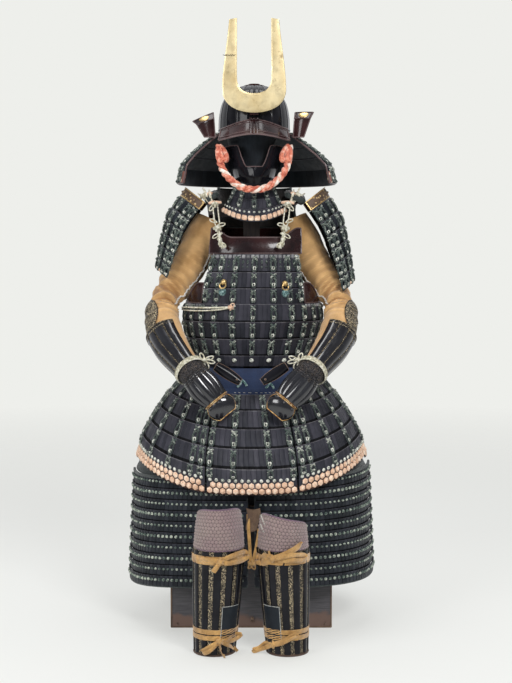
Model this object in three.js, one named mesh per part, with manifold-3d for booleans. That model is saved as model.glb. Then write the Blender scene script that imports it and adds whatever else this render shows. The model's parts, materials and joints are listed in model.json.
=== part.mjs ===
// A full suit of samurai armour, set up on its storage chest and a wooden stand.
// Units are millimetres. +Z is up, the armour faces -Y, and +X is the wearer's left.
// The origin is the middle of the chest's underside. "left" and "right" are the wearer's.
import * as THREE from "three";
import { mergeVertices } from "three/addons/utils/BufferGeometryUtils.js";
import Module from "manifold-3d";

const wasm = await Module();
wasm.setup();

// ---------------------------------------------------------------- driving dimensions

const GAP = 0.6; // between pieces that are sewn, laced or laid against each other
const LAME = 4; // thickness of a laced row of scales
const LAP = 5; // how far each row's upper edge stands proud of the row above it
const CLOTH = 2.4; // sleeve cloth with its lining
const PLATE = 3; // lacquered iron plate
const LEATHER = 3; // leather-covered plate

const CHEST = { halfWidth: 223, front: -214, back: 214, height: 400, wall: 12, lidTop: 455, lidRim: 55 };
const CROSSBAR = 208; // length of the stand's crossbar
const ARMOUR_Y = 55; // the armour's upright axis stands this far behind the chest's middle
const HEAD_X = 8; // the helmet sits this far to the left of that axis

// Horizontal sections, all measured from the armour's upright axis.
const TORSO = [
  { z: 1120, half: 165, front: 124, back: 122, x: 14 },
  { z: 1041, half: 170, front: 150, back: 138, x: 11 },
  { z: 945, half: 192, front: 166, back: 146, x: 6 },
  { z: 851, half: 202, front: 170, back: 148, x: 4 },
  { z: 790, half: 186, front: 155, back: 135, x: 2 },
  { z: 722, half: 160, front: 136, back: 119, x: 0 },
];
const CUIRASS_ROWS = [901, 851, 802, 754, 722]; // upper edges of the long rows, then the hem
const CHEST_ROWS = [1041, 990, 945, 904]; // the short rows above them, front and back
const CHEST_SPAN = 43; // degrees each way that the short rows reach
const SIDE_SEAM = 89; // degrees from the front to the seam under each arm

const SASH = [
  { z: 716, half: 160, front: 134, back: 118 },
  { z: 690, half: 168, front: 146, back: 132 },
  { z: 655, half: 178, front: 160, back: 150 },
  { z: 628, half: 186, front: 171, back: 162 },
];

// The skirt of hanging panels: one row of the table for each lacing level, w from top to hem.
const SKIRT = [
  { w: 0, half: 206, front: 192, back: 186, zFront: 646, zSide: 680, zBack: 684 },
  { w: 0.25, half: 248, front: 250, back: 232, zFront: 590, zSide: 628, zBack: 634 },
  { w: 0.5, half: 285, front: 304, back: 266, zFront: 527, zSide: 574, zBack: 584 },
  { w: 0.75, half: 315, front: 350, back: 288, zFront: 463, zSide: 520, zBack: 532 },
  { w: 1, half: 334, front: 378, back: 302, zFront: 393, zSide: 458, zBack: 474 },
];
// Each panel's edges in degrees, at its top and at its hem; lift raises its outer lower corner.
const SKIRT_PANELS = [
  { name: "tasset_front", top: [-23.4, 21.4], hem: [-15.4, 16.4], lift: 0 },
  { name: "tasset_front_left", top: [22.6, 76.4], hem: [17.2, 78.4], lift: 20 },
  { name: "tasset_side_left", top: [77.6, 128.4], hem: [79.2, 128.4], lift: 0 },
  { name: "tasset_back_left", top: [129.6, 179.4], hem: [129.6, 179.6], lift: 0 },
  { name: "tasset_front_right", top: [-24.6, -76.4], hem: [-16.2, -78.4], lift: 12 },
  { name: "tasset_side_right", top: [-77.6, -128.4], hem: [-79.2, -128.4], lift: 0 },
  { name: "tasset_back_right", top: [-129.6, -179.4], hem: [-129.6, -179.6], lift: 0 },
];
const SKIRT_ROWS = 5;

// The thigh guards: two curved halves hung from a cloth apron tied at the waist.
const THIGH = [
  { w: 0, half: 342, front: 339, zFront: 430, zSide: 420 },
  { w: 1, half: 356, front: 352, zFront: 134, zSide: 108 },
];
const THIGH_SPAN = { from: 0.3, to: 83 };
const THIGH_ROWS = 5;
const THIGH_LEFT_RISE = 22; // the wearer's left half hangs this much higher at its outer edge
const APRON = [
  { w: 0, half: 158, front: 136, z: 700 },
  { w: 0.25, half: 180, front: 165, z: 626 },
  { w: 0.375, half: 197, front: 184, z: 608 },
  { w: 0.5, half: 236, front: 250, z: 567 },
  { w: 0.75, half: 299, front: 320, z: 490 },
  { w: 1, half: 336, front: 332, z: 424 },
];

// Helmet bowl, as a profile from crown hole to rim.
const BOWL = [
  { w: 0, r: 12, z: 1533 },
  { w: 0.2, r: 45, z: 1524 },
  { w: 0.4, r: 74, z: 1506 },
  { w: 0.6, r: 92, z: 1479 },
  { w: 0.8, r: 101, z: 1440 },
  { w: 1, r: 103, z: 1392 },
];
const BOWL_DEPTH = 1.15; // front-to-back size over side-to-side size
const NECK_GUARD = [
  { w: 0, half: 107, front: 121, back: 124, z: 1390, x: 0 },
  { w: 0.25, half: 152, front: 150, back: 164, z: 1357, x: 2 },
  { w: 0.5, half: 188, front: 170, back: 194, z: 1328, x: 4 },
  { w: 0.75, half: 218, front: 186, back: 219, z: 1297, x: 6 },
  { w: 1, half: 230, front: 192, back: 229, z: 1246, x: 7 },
];
const NECK_GUARD_ROWS = 4;
const NECK_GUARD_FROM = 66; // degrees from the front to each front edge

const MASK = [
  { z: 1354, half: 86, front: 110 },
  { z: 1320, half: 84, front: 118 },
  { z: 1290, half: 74, front: 127 },
  { z: 1262, half: 60, front: 128 },
  { z: 1240, half: 44, front: 114 },
];
const MASK_TOP = { chin: 1290, cheek: 1352, chinSpan: 17, cheekSpan: 35 };

const THROAT = [
  { w: 0, half: 64, front: 92, zFront: 1222, zSide: 1238 },
  { w: 0.5, half: 83, front: 124, zFront: 1182, zSide: 1204 },
  { w: 1, half: 106, front: 158, zFront: 1134, zSide: 1172 },
];
const THROAT_SPAN = 63;

const CREST = { y: -147, thickness: 3, bottom: 1440, top: 1703, outer: 90, foot: 54, footBack: -117.1 };

// The left arm, from shoulder to wrist: centre of each section and its radius.
const ARM = [
  { x: 121, y: 4, z: 1142, r: 44 },
  { x: 149, y: -2, z: 1086, r: 52 },
  { x: 182, y: -14, z: 1010, r: 53 },
  { x: 224, y: -36, z: 948, r: 48 },
  { x: 252, y: -62, z: 902, r: 39 },
  { x: 256, y: -92, z: 866, r: 46 },
  { x: 246, y: -130, z: 824, r: 50 },
  { x: 222, y: -172, z: 780, r: 46 },
  { x: 190, y: -214, z: 742, r: 38 },
  { x: 166, y: -246, z: 716, r: 33 },
];
const ELBOW_FOLDS = { from: 0.3, to: 0.62, depth: 3, count: 3 };

const SHOULDER_GUARD = [
  { w: 0, inner: 128, bulge: 64, depth: 96, zEnd: 1184, zMid: 1234 },
  { w: 0.33, inner: 182, bulge: 60, depth: 100, zEnd: 1118, zMid: 1158 },
  { w: 0.66, inner: 212, bulge: 50, depth: 102, zEnd: 1046, zMid: 1080 },
  { w: 1, inner: 238, bulge: 38, depth: 100, zEnd: 970, zMid: 1000 },
];
const SHOULDER_GUARD_ROWS = 6;

const SHIN = [
  { z: 280, x: 84, half: 67, front: 66 },
  { z: 150, x: 89, half: 61, front: 60 },
  { z: 0, x: 96, half: 52, front: 54 },
];
const SHIN_Y = -500; // from the armour's axis to the middle of the shin
const SHIN_SPAN = 112;
const KNEE = [
  { z: 390, x: 83, half: 54, front: 70 },
  { z: 336, x: 83, half: 62, front: 78 },
  { z: 281, x: 84, half: 66, front: 70 },
];
const KNEE_TOP = { left: { inner: 376, outer: 352 }, right: { inner: 388, outer: 384 } };
const KNEE_SPAN = 84;

// ---------------------------------------------------------------- small helpers

const rad = (degrees) => (degrees * Math.PI) / 180;
const vec = (x, y, z) => new THREE.Vector3(x, y, z);
const mix = (a, b, t) => a + (b - a) * t;
const smooth = (t) => t * t * (3 - 2 * t);
const clamp01 = (t) => Math.min(1, Math.max(0, t));

// Every column of a table at one value of its key, by straight lines between rows.
function at(table, key, value) {
  const rising = table[table.length - 1][key] > table[0][key];
  let i = 0;
  while (i < table.length - 2 && (rising ? value > table[i + 1][key] : value < table[i + 1][key])) i++;
  const t = clamp01((value - table[i][key]) / (table[i + 1][key] - table[i][key]));
  const row = {};
  for (const column of Object.keys(table[i])) row[column] = mix(table[i][column], table[i + 1][column], t);
  return row;
}

// A point on a rounded section: 0 degrees is the front and 90 the wearer's left.
function section({ half, front, back = front, x = 0 }, degrees, z, power = 2.3, y = 0) {
  const s = Math.sin(rad(degrees));
  const c = Math.cos(rad(degrees));
  const round = (value) => Math.sign(value) * Math.abs(value) ** (2 / power);
  return vec(x + half * round(s), y - (c > 0 ? front : back) * round(c), z);
}

// The unit normal of a surface point(u, v), outward where u turns to the left and v runs down.
function normalAt(point, u, v, du, dv) {
  const along = point(u + du, v).sub(point(u - du, v));
  const down = point(u, v + dv).sub(point(u, v - dv));
  return down.cross(along).normalize();
}

// The same surface, moved out along its normals.
function moved(point, distance, du = 0.01, dv = 0.004) {
  return (u, v) => point(u, v).addScaledVector(normalAt(point, u, v, du, dv), distance);
}

function geometryOf(points, triangles) {
  const geometry = new THREE.BufferGeometry();
  const places = points.flatMap((p) => [p.x, p.y, p.z]);
  geometry.setAttribute("position", new THREE.Float32BufferAttribute(places, 3));
  geometry.setIndex(triangles);
  return facingOut(geometry);
}

// Turns every face round where the solid's signed volume is negative.
function facingOut(geometry) {
  const p = geometry.getAttribute("position");
  const index = geometry.index.array;
  const corner = (i) => vec(p.getX(i), p.getY(i), p.getZ(i));
  let volume = 0;
  for (let i = 0; i < index.length; i += 3)
    volume += corner(index[i]).dot(corner(index[i + 1]).cross(corner(index[i + 2])));
  if (volume < 0)
    for (let i = 0; i < index.length; i += 3) [index[i + 1], index[i + 2]] = [index[i + 2], index[i + 1]];
  geometry.computeVertexNormals();
  return geometry;
}

// A closed wall between two grids of points; a ring's first and last columns are joined.
function wallBetween(outer, inner, columns, rows, ring = false) {
  const width = ring ? columns : columns + 1;
  const points = [];
  for (const face of [outer, inner])
    for (let j = 0; j <= rows; j++) for (let i = 0; i < width; i++) points.push(face(i, j));
  const id = (layer, i, j) => layer * width * (rows + 1) + j * width + (i % width);
  const triangles = [];
  const quad = (a, b, c, d) => triangles.push(a, b, c, a, c, d);
  for (let j = 0; j < rows; j++)
    for (let i = 0; i < columns; i++) {
      quad(id(0, i, j), id(0, i + 1, j), id(0, i + 1, j + 1), id(0, i, j + 1));
      quad(id(1, i, j), id(1, i, j + 1), id(1, i + 1, j + 1), id(1, i + 1, j));
    }
  for (let i = 0; i < columns; i++) {
    quad(id(0, i, 0), id(1, i, 0), id(1, i + 1, 0), id(0, i + 1, 0));
    quad(id(0, i, rows), id(0, i + 1, rows), id(1, i + 1, rows), id(1, i, rows));
  }
  if (!ring)
    for (let j = 0; j < rows; j++) {
      quad(id(0, 0, j), id(0, 0, j + 1), id(1, 0, j + 1), id(1, 0, j));
      quad(id(0, columns, j), id(1, columns, j), id(1, columns, j + 1), id(0, columns, j + 1));
    }
  return geometryOf(points, triangles);
}

// A plain sheet of one thickness whose outer face is point(u, v).
function sheet(point, u0, u1, v0, v1, columns, rows, thickness, ring = false) {
  const inner = moved(point, -thickness, (u1 - u0) * 1e-3, (v1 - v0) * 1e-3);
  const grid = (face) => (i, j) => face(mix(u0, u1, i / columns), mix(v0, v1, j / rows));
  return wallBetween(grid(point), grid(inner), columns, rows, ring);
}

// Laced rows: each row's upper edge laps over the row above, in one stepped wall.
function lacedWall(point, u0, u1, edges, columns, thickness = LAME, lap = LAP) {
  const levels = [];
  for (let k = 0; k < edges.length - 1; k++) {
    const last = k === edges.length - 2;
    levels.push({ v: edges[k], out: k ? lap : 1 });
    levels.push({ v: mix(edges[k], edges[k + 1], last ? 1 : 0.95), out: 0 });
  }
  const [du, dv] = [(u1 - u0) * 1e-3, (edges[edges.length - 1] - edges[0]) * 1e-3];
  const face = (height) => (i, j) => {
    const level = levels[j];
    return moved(point, height(level), du, dv)(mix(u0, u1, i / columns), level.v);
  };
  return wallBetween(face((l) => l.out), face(() => -thickness), columns, levels.length - 1);
}

// A round bar along points, as an extruded section.
function bar(points, radius, sides, steps) {
  const shape = new THREE.Shape();
  for (let i = 0; i < sides; i++) {
    const a = (i / sides) * 2 * Math.PI;
    shape[i ? "lineTo" : "moveTo"](radius * Math.cos(a), radius * Math.sin(a));
  }
  const path = new THREE.CatmullRomCurve3(points);
  return welded(new THREE.ExtrudeGeometry(shape, { steps, extrudePath: path }));
}

// A closed loop of cord round a ring of centres.
function cordRing(centres, radius, sides) {
  const count = centres.length;
  const middle = centres.reduce((sum, p) => sum.add(p), vec(0, 0, 0)).divideScalar(count);
  const points = centres.flatMap((p, i) => {
    const along = centres[(i + 1) % count].clone().sub(centres[(i + count - 1) % count]).normalize();
    const out = p.clone().sub(middle).projectOnPlane(along).normalize();
    const up = along.clone().cross(out);
    return Array.from({ length: sides }, (_, k) => {
      const a = (k / sides) * 2 * Math.PI;
      return p.clone().addScaledVector(out, radius * Math.cos(a)).addScaledVector(up, radius * Math.sin(a));
    });
  });
  const id = (i, k) => (i % count) * sides + (k % sides);
  const triangles = [];
  for (let i = 0; i < count; i++)
    for (let k = 0; k < sides; k++) {
      triangles.push(id(i, k), id(i + 1, k), id(i + 1, k + 1));
      triangles.push(id(i, k), id(i + 1, k + 1), id(i, k + 1));
    }
  return geometryOf(points, triangles);
}

function boxOf(x0, x1, y0, y1, z0, z1) {
  const geometry = new THREE.BoxGeometry(x1 - x0, y1 - y0, z1 - z0);
  return geometry.translate((x0 + x1) / 2, (y0 + y1) / 2, (z0 + z1) / 2);
}

// The same faces with one shared point at each corner.
function welded(geometry) {
  const bare = geometry.clone();
  bare.deleteAttribute("normal");
  bare.deleteAttribute("uv");
  return mergeVertices(bare, 1e-3);
}

function solidOf(geometry) {
  const merged = welded(geometry);
  const vertProperties = merged.getAttribute("position").array;
  const triVerts = new Uint32Array(merged.index.array);
  return new wasm.Manifold(new wasm.Mesh({ numProp: 3, vertProperties, triVerts }));
}

function geometryFrom(solid) {
  const mesh = solid.simplify(0.02).getMesh();
  const geometry = new THREE.BufferGeometry();
  geometry.setAttribute("position", new THREE.BufferAttribute(mesh.vertProperties, 3));
  geometry.setIndex(new THREE.BufferAttribute(mesh.triVerts, 1));
  geometry.computeVertexNormals();
  return geometry;
}

const joined = (...parts) => geometryFrom(parts.map(solidOf).reduce((a, b) => a.add(b)));
const cut = (part, ...tools) => geometryFrom(tools.map(solidOf).reduce((a, b) => a.subtract(b), solidOf(part)));
const mirrored = (geometry) => facingOut(geometry.clone().scale(-1, 1, 1));

// ---------------------------------------------------------------- materials and placing

const paint = (color, roughness, metalness = 0) =>
  new THREE.MeshStandardMaterial({ color, roughness, metalness });
const MATERIAL = {
  lacquer: paint(0x15141a, 0.22),
  brownLacquer: paint(0x33202a, 0.3),
  gilt: paint(0xcdb068, 0.45, 0.6),
  scales: paint(0x3a3844, 0.6),
  sleeveCloth: paint(0xb07c38, 0.85),
  navyCloth: paint(0x1a2440, 0.9),
  quilting: paint(0x80707a, 0.9),
  ribbon: paint(0xa87428, 0.8),
  chinCord: paint(0xd0604a, 0.8),
  paleCord: paint(0xcfc8a4, 0.85),
  chestWood: paint(0x3d3439, 0.6),
  standWood: paint(0x5a4330, 0.7),
};

const model = new THREE.Group();
const armour = new THREE.Group();
armour.position.y = ARMOUR_Y;
model.add(armour);
const helmet = new THREE.Group(); // the helmet and the mask sit a little to the left
helmet.position.x = HEAD_X;
armour.add(helmet);

function add(name, geometry, material, group = armour) {
  const mesh = new THREE.Mesh(geometry, material);
  mesh.name = name;
  group.add(mesh);
}

// One piece on each side of the body, from the left one.
function addPair(name, geometry, material, group = armour) {
  add(`${name}_left`, geometry, material, group);
  add(`${name}_right`, mirrored(geometry), material, group);
}

// ---------------------------------------------------------------- cuirass and sash

const torso = (degrees, z) => section(at(TORSO, "z", z), degrees, z, 2.4);

function addCuirass() {
  // Long rows run round each half, and the short rows stand on them between the armholes.
  const half = (middle) =>
    joined(
      lacedWall(torso, middle - SIDE_SEAM, middle + SIDE_SEAM, CUIRASS_ROWS, 14),
      lacedWall(torso, middle - CHEST_SPAN, middle + CHEST_SPAN, [...CHEST_ROWS.slice(0, -1), 899], 6),
    );
  add("cuirass_front", half(0), MATERIAL.scales);
  add("cuirass_back", half(180), MATERIAL.scales);

  // Rimmed plates finish the top: lower in the middle of the front, for the neck.
  const plate = (middle, low, high) => (u, v) => {
    const rise = smooth(clamp01((Math.abs(u - middle) - 20) / 22));
    return torso(u, mix(mix(low, high, rise), CHEST_ROWS[0] + 3, v));
  };
  const span = CHEST_SPAN + 4;
  add("chest_plate", sheet(plate(0, 1089, 1116), -span, span, 0, 1, 10, 2, LEATHER), MATERIAL.brownLacquer);
  const back = sheet(plate(180, 1118, 1118), 180 - span, 180 + span, 0, 1, 8, 2, LEATHER);
  add("back_plate", back, MATERIAL.brownLacquer);

  // A leather-covered plate fills the bottom of each armhole, in front of the side seam.
  const side = (way) => (u, v) => torso(way * u, mix(906 + 54 * smooth(clamp01((80 - u) / 28)), 903, v));
  add("side_plate_left", sheet(side(1), 45, 80, 0, 1, 6, 1, LEATHER), MATERIAL.brownLacquer);
  add("side_plate_right", sheet(side(-1), 80, 45, 0, 1, 6, 1, LEATHER), MATERIAL.brownLacquer);
}

// Each strap is sewn to the back plate, goes over the shoulder and stops short of the chest plate.
const STRAP_ROUTE = [
  vec(106, 118, 1124),
  vec(110, 92, 1160),
  vec(113, 30, 1194),
  vec(114, -30, 1202),
  vec(113, -80, 1188),
];
function addStraps() {
  const route = new THREE.CatmullRomCurve3(STRAP_ROUTE);
  const strap = (u, v) => route.getPoint(clamp01(v)).add(vec(u, 0, 0));
  addPair("shoulder_strap", sheet(strap, -19, 19, 0.02, 1, 2, 8, 5), MATERIAL.brownLacquer);
  // Twin cords with a toggle tie each strap's end down to the chest plate.
  const down = [vec(104, -90, 1184), vec(101, -112, 1158), vec(93, -139, 1104), vec(82, -154, 1062)];
  addPair("strap_cord", bar(down, 4.5, 6, 8), MATERIAL.paleCord);
}

function addSash() {
  const point = (u, v) => {
    const z = mix(SASH[0].z, SASH[3].z, v);
    return section(at(SASH, "z", z), u, z, 2.4);
  };
  add("sash", sheet(point, 0, 360, 0, 1, 24, 3, CLOTH, true), MATERIAL.navyCloth);
}

// The tie at the right side seam: its two free ends lie forward across the front rows.
const SIDE_TIE = [
  [-90, 884, 8],
  [-76, 886, 12],
  [-60, 888, 11],
  [-44, 889, 10],
  [-28, 890, 10],
  [-15, 892, 10],
];
function addSideTie() {
  const route = SIDE_TIE.map(([u, z, out]) => moved(torso, out)(u, z));
  add("side_tie_cord", bar(route, 3, 6, 16), MATERIAL.paleCord);
}

// ---------------------------------------------------------------- skirt and thigh guards

// Height of a hanging row that is lowest in front, highest at the sides.
function hung(row, degrees) {
  const c = Math.cos(rad(degrees));
  return mix(row.zSide, c > 0 ? row.zFront : row.zBack, c * c);
}

// One panel, where u runs from 0 at its first edge to 1 at its other edge.
function skirt({ top, hem, lift }) {
  return (u, v) => {
    const row = at(SKIRT, "w", v);
    const degrees = mix(mix(top[0], hem[0], v), mix(top[1], hem[1], v), u);
    return section(row, degrees, hung(row, degrees) + lift * u * v, mix(2.3, 2.6, v));
  };
}

function evenRows(count, last = 1) {
  return Array.from({ length: count + 1 }, (_, k) => (k < count ? (k / count) * last : 1));
}

function addTassets() {
  for (const panel of SKIRT_PANELS) {
    const edges = evenRows(SKIRT_ROWS, 0.96);
    const [from, to] = panel.top[0] < panel.top[1] ? [0, 1] : [1, 0];
    add(panel.name, lacedWall(skirt(panel), from, to, edges, 5), MATERIAL.scales);
  }
}

function thigh(rise) {
  return (u, v) => {
    const row = at(THIGH, "w", v);
    const outward = Math.sin(rad(u)) ** 2;
    return section(row, u, mix(row.zFront, row.zSide + rise, outward), 2.9);
  };
}

function addThighGuards() {
  const { from, to } = THIGH_SPAN;
  const half = (rise) => lacedWall(thigh(rise), from, to, evenRows(THIGH_ROWS), 9, 3, 4);
  add("thigh_guard_left", half(THIGH_LEFT_RISE), MATERIAL.scales);
  add("thigh_guard_right", mirrored(half(0)), MATERIAL.scales);
  const apron = (u, v) => {
    const row = at(APRON, "w", v);
    return section(row, u, row.z, mix(2.4, 2.9, clamp01(v * 2 - 0.6)));
  };
  add("thigh_apron", sheet(apron, -90, 90, 0, 1, 12, 8, CLOTH), MATERIAL.navyCloth);
}

// ---------------------------------------------------------------- helmet

function addHelmet() {
  const bowl = (u, v) => {
    const row = at(BOWL, "w", v);
    return section({ half: row.r, front: row.r * BOWL_DEPTH }, u, row.z, 2);
  };
  add("helmet_bowl", sheet(bowl, 0, 360, 0, 1, 20, 5, PLATE, true), MATERIAL.lacquer, helmet);

  // The peak springs from the rim and slopes out and down, with a crease down its middle.
  const peak = (u, v) => {
    const side = smooth(clamp01(Math.abs(u) / 62));
    const root = { half: 107, front: 123 };
    const lip = { half: 116, front: 166 };
    const row = { half: mix(root.half, lip.half, v), front: mix(root.front, lip.front, v) };
    return section(row, u, mix(mix(1424, 1403, side), mix(1379, 1367, side), v), 2);
  };
  add("helmet_peak", sheet(peak, -62, 62, 0, 1, 12, 2, PLATE), MATERIAL.brownLacquer, helmet);

  const guard = (u, v) => {
    const row = at(NECK_GUARD, "w", v);
    return section(row, u, row.z, 2.1);
  };
  const rows = evenRows(NECK_GUARD_ROWS);
  const guardWall = lacedWall(guard, NECK_GUARD_FROM, 360 - NECK_GUARD_FROM, rows, 16, 3, 4);
  add("neck_guard", guardWall, MATERIAL.scales, helmet);

  // Each wing springs from the front edge of the neck guard, and its upper part folds back.
  const wing = ({ spread, droop }) => (across, down) => {
    const up = 1 - down;
    const fold = clamp01((up - 0.66) / 0.34);
    const x = mix(112, 118, up) + across * mix(30, spread, up);
    const y = -70 - 14 * Math.sin(Math.PI * across * 0.7) + 26 * fold;
    return vec(x, y, 1376 + 54 * Math.min(up, 0.66) / 0.66 + 18 * fold - droop * across * up);
  };
  const wingPlate = (shape) => sheet(wing(shape), 0, 1, 0, 1, 3, 6, PLATE);
  add("helmet_wing_left", wingPlate({ spread: 52, droop: 0 }), MATERIAL.brownLacquer, helmet);
  add("helmet_wing_right", mirrored(wingPlate({ spread: 58, droop: 26 })), MATERIAL.brownLacquer, helmet);
}

// The crest is a tall pair of horns on a crescent, cut from one plate.
function crestOutline() {
  const { bottom, top, outer, foot } = CREST;
  const shape = new THREE.Shape();
  shape.moveTo(-70, top - 4);
  shape.bezierCurveTo(-78, top - 90, -outer, bottom + 120, -outer, bottom + 64);
  shape.bezierCurveTo(-outer, bottom + 18, -44, bottom, 0, bottom);
  shape.bezierCurveTo(44, bottom, outer, bottom + 18, outer, bottom + 64);
  shape.bezierCurveTo(outer, bottom + 120, 78, top - 90, 70, top - 4);
  shape.lineTo(48, top);
  shape.bezierCurveTo(48, top - 110, 49, bottom + 118, 48, bottom + 92);
  shape.bezierCurveTo(46, bottom + 66, 28, bottom + foot, 0, bottom + foot);
  shape.bezierCurveTo(-28, bottom + foot, -46, bottom + 66, -48, bottom + 92);
  shape.bezierCurveTo(-49, bottom + 118, -48, top - 110, -48, top);
  return shape;
}

function addCrest() {
  const { y, thickness, bottom } = CREST;
  const cutting = { depth: thickness, bevelEnabled: false, curveSegments: 6 };
  const plate = new THREE.ExtrudeGeometry(crestOutline(), cutting);
  plate.rotateX(Math.PI / 2).translate(0, y + thickness, 0);
  // A box socket on the plate's back drops over the upright tongue of the holder.
  const back = y + thickness - 0.5;
  const socket = boxOf(-13, 13, back, back + 12, bottom + 14, bottom + 38);
  const slot = boxOf(-9, 9, back + 4, back + 8.4, bottom + 6, bottom + 46);
  add("helmet_crest", joined(plate, cut(socket, slot)), MATERIAL.gilt, helmet);
  const tongueY = back + 4.6;
  const tongue = boxOf(-8.4, 8.4, tongueY, tongueY + 3.2, bottom - 6, bottom + 34);
  const foot = boxOf(-12, 12, tongueY, CREST.footBack, bottom - 6, bottom + 13.4);
  add("crest_holder", joined(tongue, foot), MATERIAL.brownLacquer, helmet);
}

// ---------------------------------------------------------------- mask, throat guard, chin cord

function addFaceGuards() {
  const mask = (u, v) => {
    const open = clamp01((Math.abs(u) - MASK_TOP.chinSpan) / (MASK_TOP.cheekSpan - MASK_TOP.chinSpan));
    const top = mix(MASK_TOP.chin, MASK_TOP.cheek, smooth(open));
    const z = mix(top, mix(1240, 1262, smooth(clamp01(Math.abs(u) / 95))), v);
    return section(at(MASK, "z", z), u, z, 2);
  };
  add("chin_mask", sheet(mask, -96, 96, 0, 1, 16, 4, PLATE), MATERIAL.lacquer, helmet);

  const throat = (u, v) => {
    const row = at(THROAT, "w", v);
    const side = Math.sin(rad(u)) ** 2;
    return section({ ...row, back: row.front }, u, mix(row.zFront, row.zSide, side), 2.1);
  };
  const rows = evenRows(3);
  add("throat_guard", lacedWall(throat, -THROAT_SPAN, THROAT_SPAN, rows, 12, 3, 3), MATERIAL.scales, helmet);

  // A thick twisted cord hangs from the helmet's sides and crosses under the chin.
  const half = [
    vec(101, -74, 1352),
    vec(100, -88, 1322),
    vec(92, -108, 1288),
    vec(70, -130, 1256),
    vec(38, -143, 1232),
  ];
  const low = vec(0, -147, 1224);
  const far = half.map((p) => vec(-p.x, p.y, p.z)).reverse();
  add("chin_cord", bar([...half, low, ...far], 11, 8, 24), MATERIAL.chinCord, helmet);
}

// ---------------------------------------------------------------- shoulder guards and sleeves

// Where each guard hangs: out sets it further from the body and lower lengthens its hang.
const SHOULDER_HANG = { left: { out: 21, lower: 38 }, right: { out: 0, lower: 0 } };

function addShoulderGuards() {
  // u runs from the front edge (-90) round the outside of the arm to the back edge (90).
  const guard = ({ out, lower }) => (u, v) => {
    const row = at(SHOULDER_GUARD, "w", v);
    const c = Math.cos(rad(u));
    const z = mix(row.zEnd, row.zMid, c) - lower * v;
    return vec(row.inner + out + row.bulge * c, row.depth * Math.sin(rad(u)), z);
  };
  const rows = evenRows(SHOULDER_GUARD_ROWS).map((v) => mix(0.1, 1, v));
  const plates = (hang) => lacedWall(guard(hang), -84, 84, rows, 8);
  add("shoulder_guard_left", plates(SHOULDER_HANG.left), MATERIAL.scales);
  add("shoulder_guard_right", mirrored(plates(SHOULDER_HANG.right)), MATERIAL.scales);
  const cap = (hang) => sheet(moved(guard(hang), 1, 0.1), -84, 84, 0, 0.092, 8, 1, LEATHER);
  add("shoulder_cap_left", cap(SHOULDER_HANG.left), MATERIAL.brownLacquer);
  add("shoulder_cap_right", mirrored(cap(SHOULDER_HANG.right)), MATERIAL.brownLacquer);
}

const ARM_ROUTE = new THREE.CatmullRomCurve3(ARM.map((p) => vec(p.x, p.y, p.z)));

// A point on the arm: turn 0 faces out and forward, and along runs from shoulder to wrist.
function arm(turn, along, out = 0) {
  const t = clamp01(along);
  const centre = ARM_ROUTE.getPoint(t);
  const tangent = ARM_ROUTE.getTangent(t);
  const side = vec(0.75, -0.55, 0.35).projectOnPlane(tangent).normalize();
  const across = tangent.clone().cross(side);
  const row = t * (ARM.length - 1);
  const low = ARM[Math.min(Math.floor(row), ARM.length - 2)];
  const high = ARM[Math.min(Math.floor(row) + 1, ARM.length - 1)];
  let radius = mix(low.r, high.r, row - Math.floor(Math.min(row, ARM.length - 1.001)));
  // Soft folds gather round the inside of the elbow.
  const { from, to, depth, count } = ELBOW_FOLDS;
  const share = clamp01((t - from) / (to - from));
  radius += depth * Math.sin(Math.PI * share) * Math.sin(2 * Math.PI * count * share + Math.cos(rad(turn)));
  radius += out;
  centre.addScaledVector(side, radius * Math.cos(rad(turn)));
  return centre.addScaledVector(across, radius * Math.sin(rad(turn)));
}

function addSleeves() {
  const outer = (i, j) => arm((i / 12) * 360, j / 18);
  const inner = (i, j) => arm((i / 12) * 360, j / 18, -CLOTH);
  addPair("sleeve", wallBetween(outer, inner, 12, 18, true), MATERIAL.sleeveCloth);

  const guard = (out) => (i, j) => {
    const splint = 1.2 * Math.cos(i * Math.PI);
    return arm(mix(-92, 92, i / 10), mix(0.68, 0.97, j / 5), out + splint);
  };
  addPair("forearm_guard", wallBetween(guard(8), guard(3.4), 10, 5), MATERIAL.lacquer);
}

// The hand plates share one frame at the wrist: forward to the fingertips, out from the hand's back.
const HAND = { wrist: vec(158, -262, 712), forward: vec(-0.64, -0.18, -0.75).normalize() };
HAND.outward = vec(0.1, -0.93, 0.34).projectOnPlane(HAND.forward).normalize();
HAND.thumbward = HAND.forward.clone().cross(HAND.outward);

function onHand(forward, thumbward, outward) {
  const { wrist, forward: f, thumbward: t, outward: o } = HAND;
  return wrist.clone().addScaledVector(f, forward).addScaledVector(t, thumbward).addScaledVector(o, outward);
}

// The lengths of the three plates along the hand, and how far each reaches to the thumb's side.
const BACK_OF_HAND = { from: 4, to: 96, half: 43, rise: 30 };
const FINGERS = { from: 100, to: 146, half: 40, rise: 24 };
const THUMB = { from: [22, 60], to: [100, 84], half: 15, rise: 14 };

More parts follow.
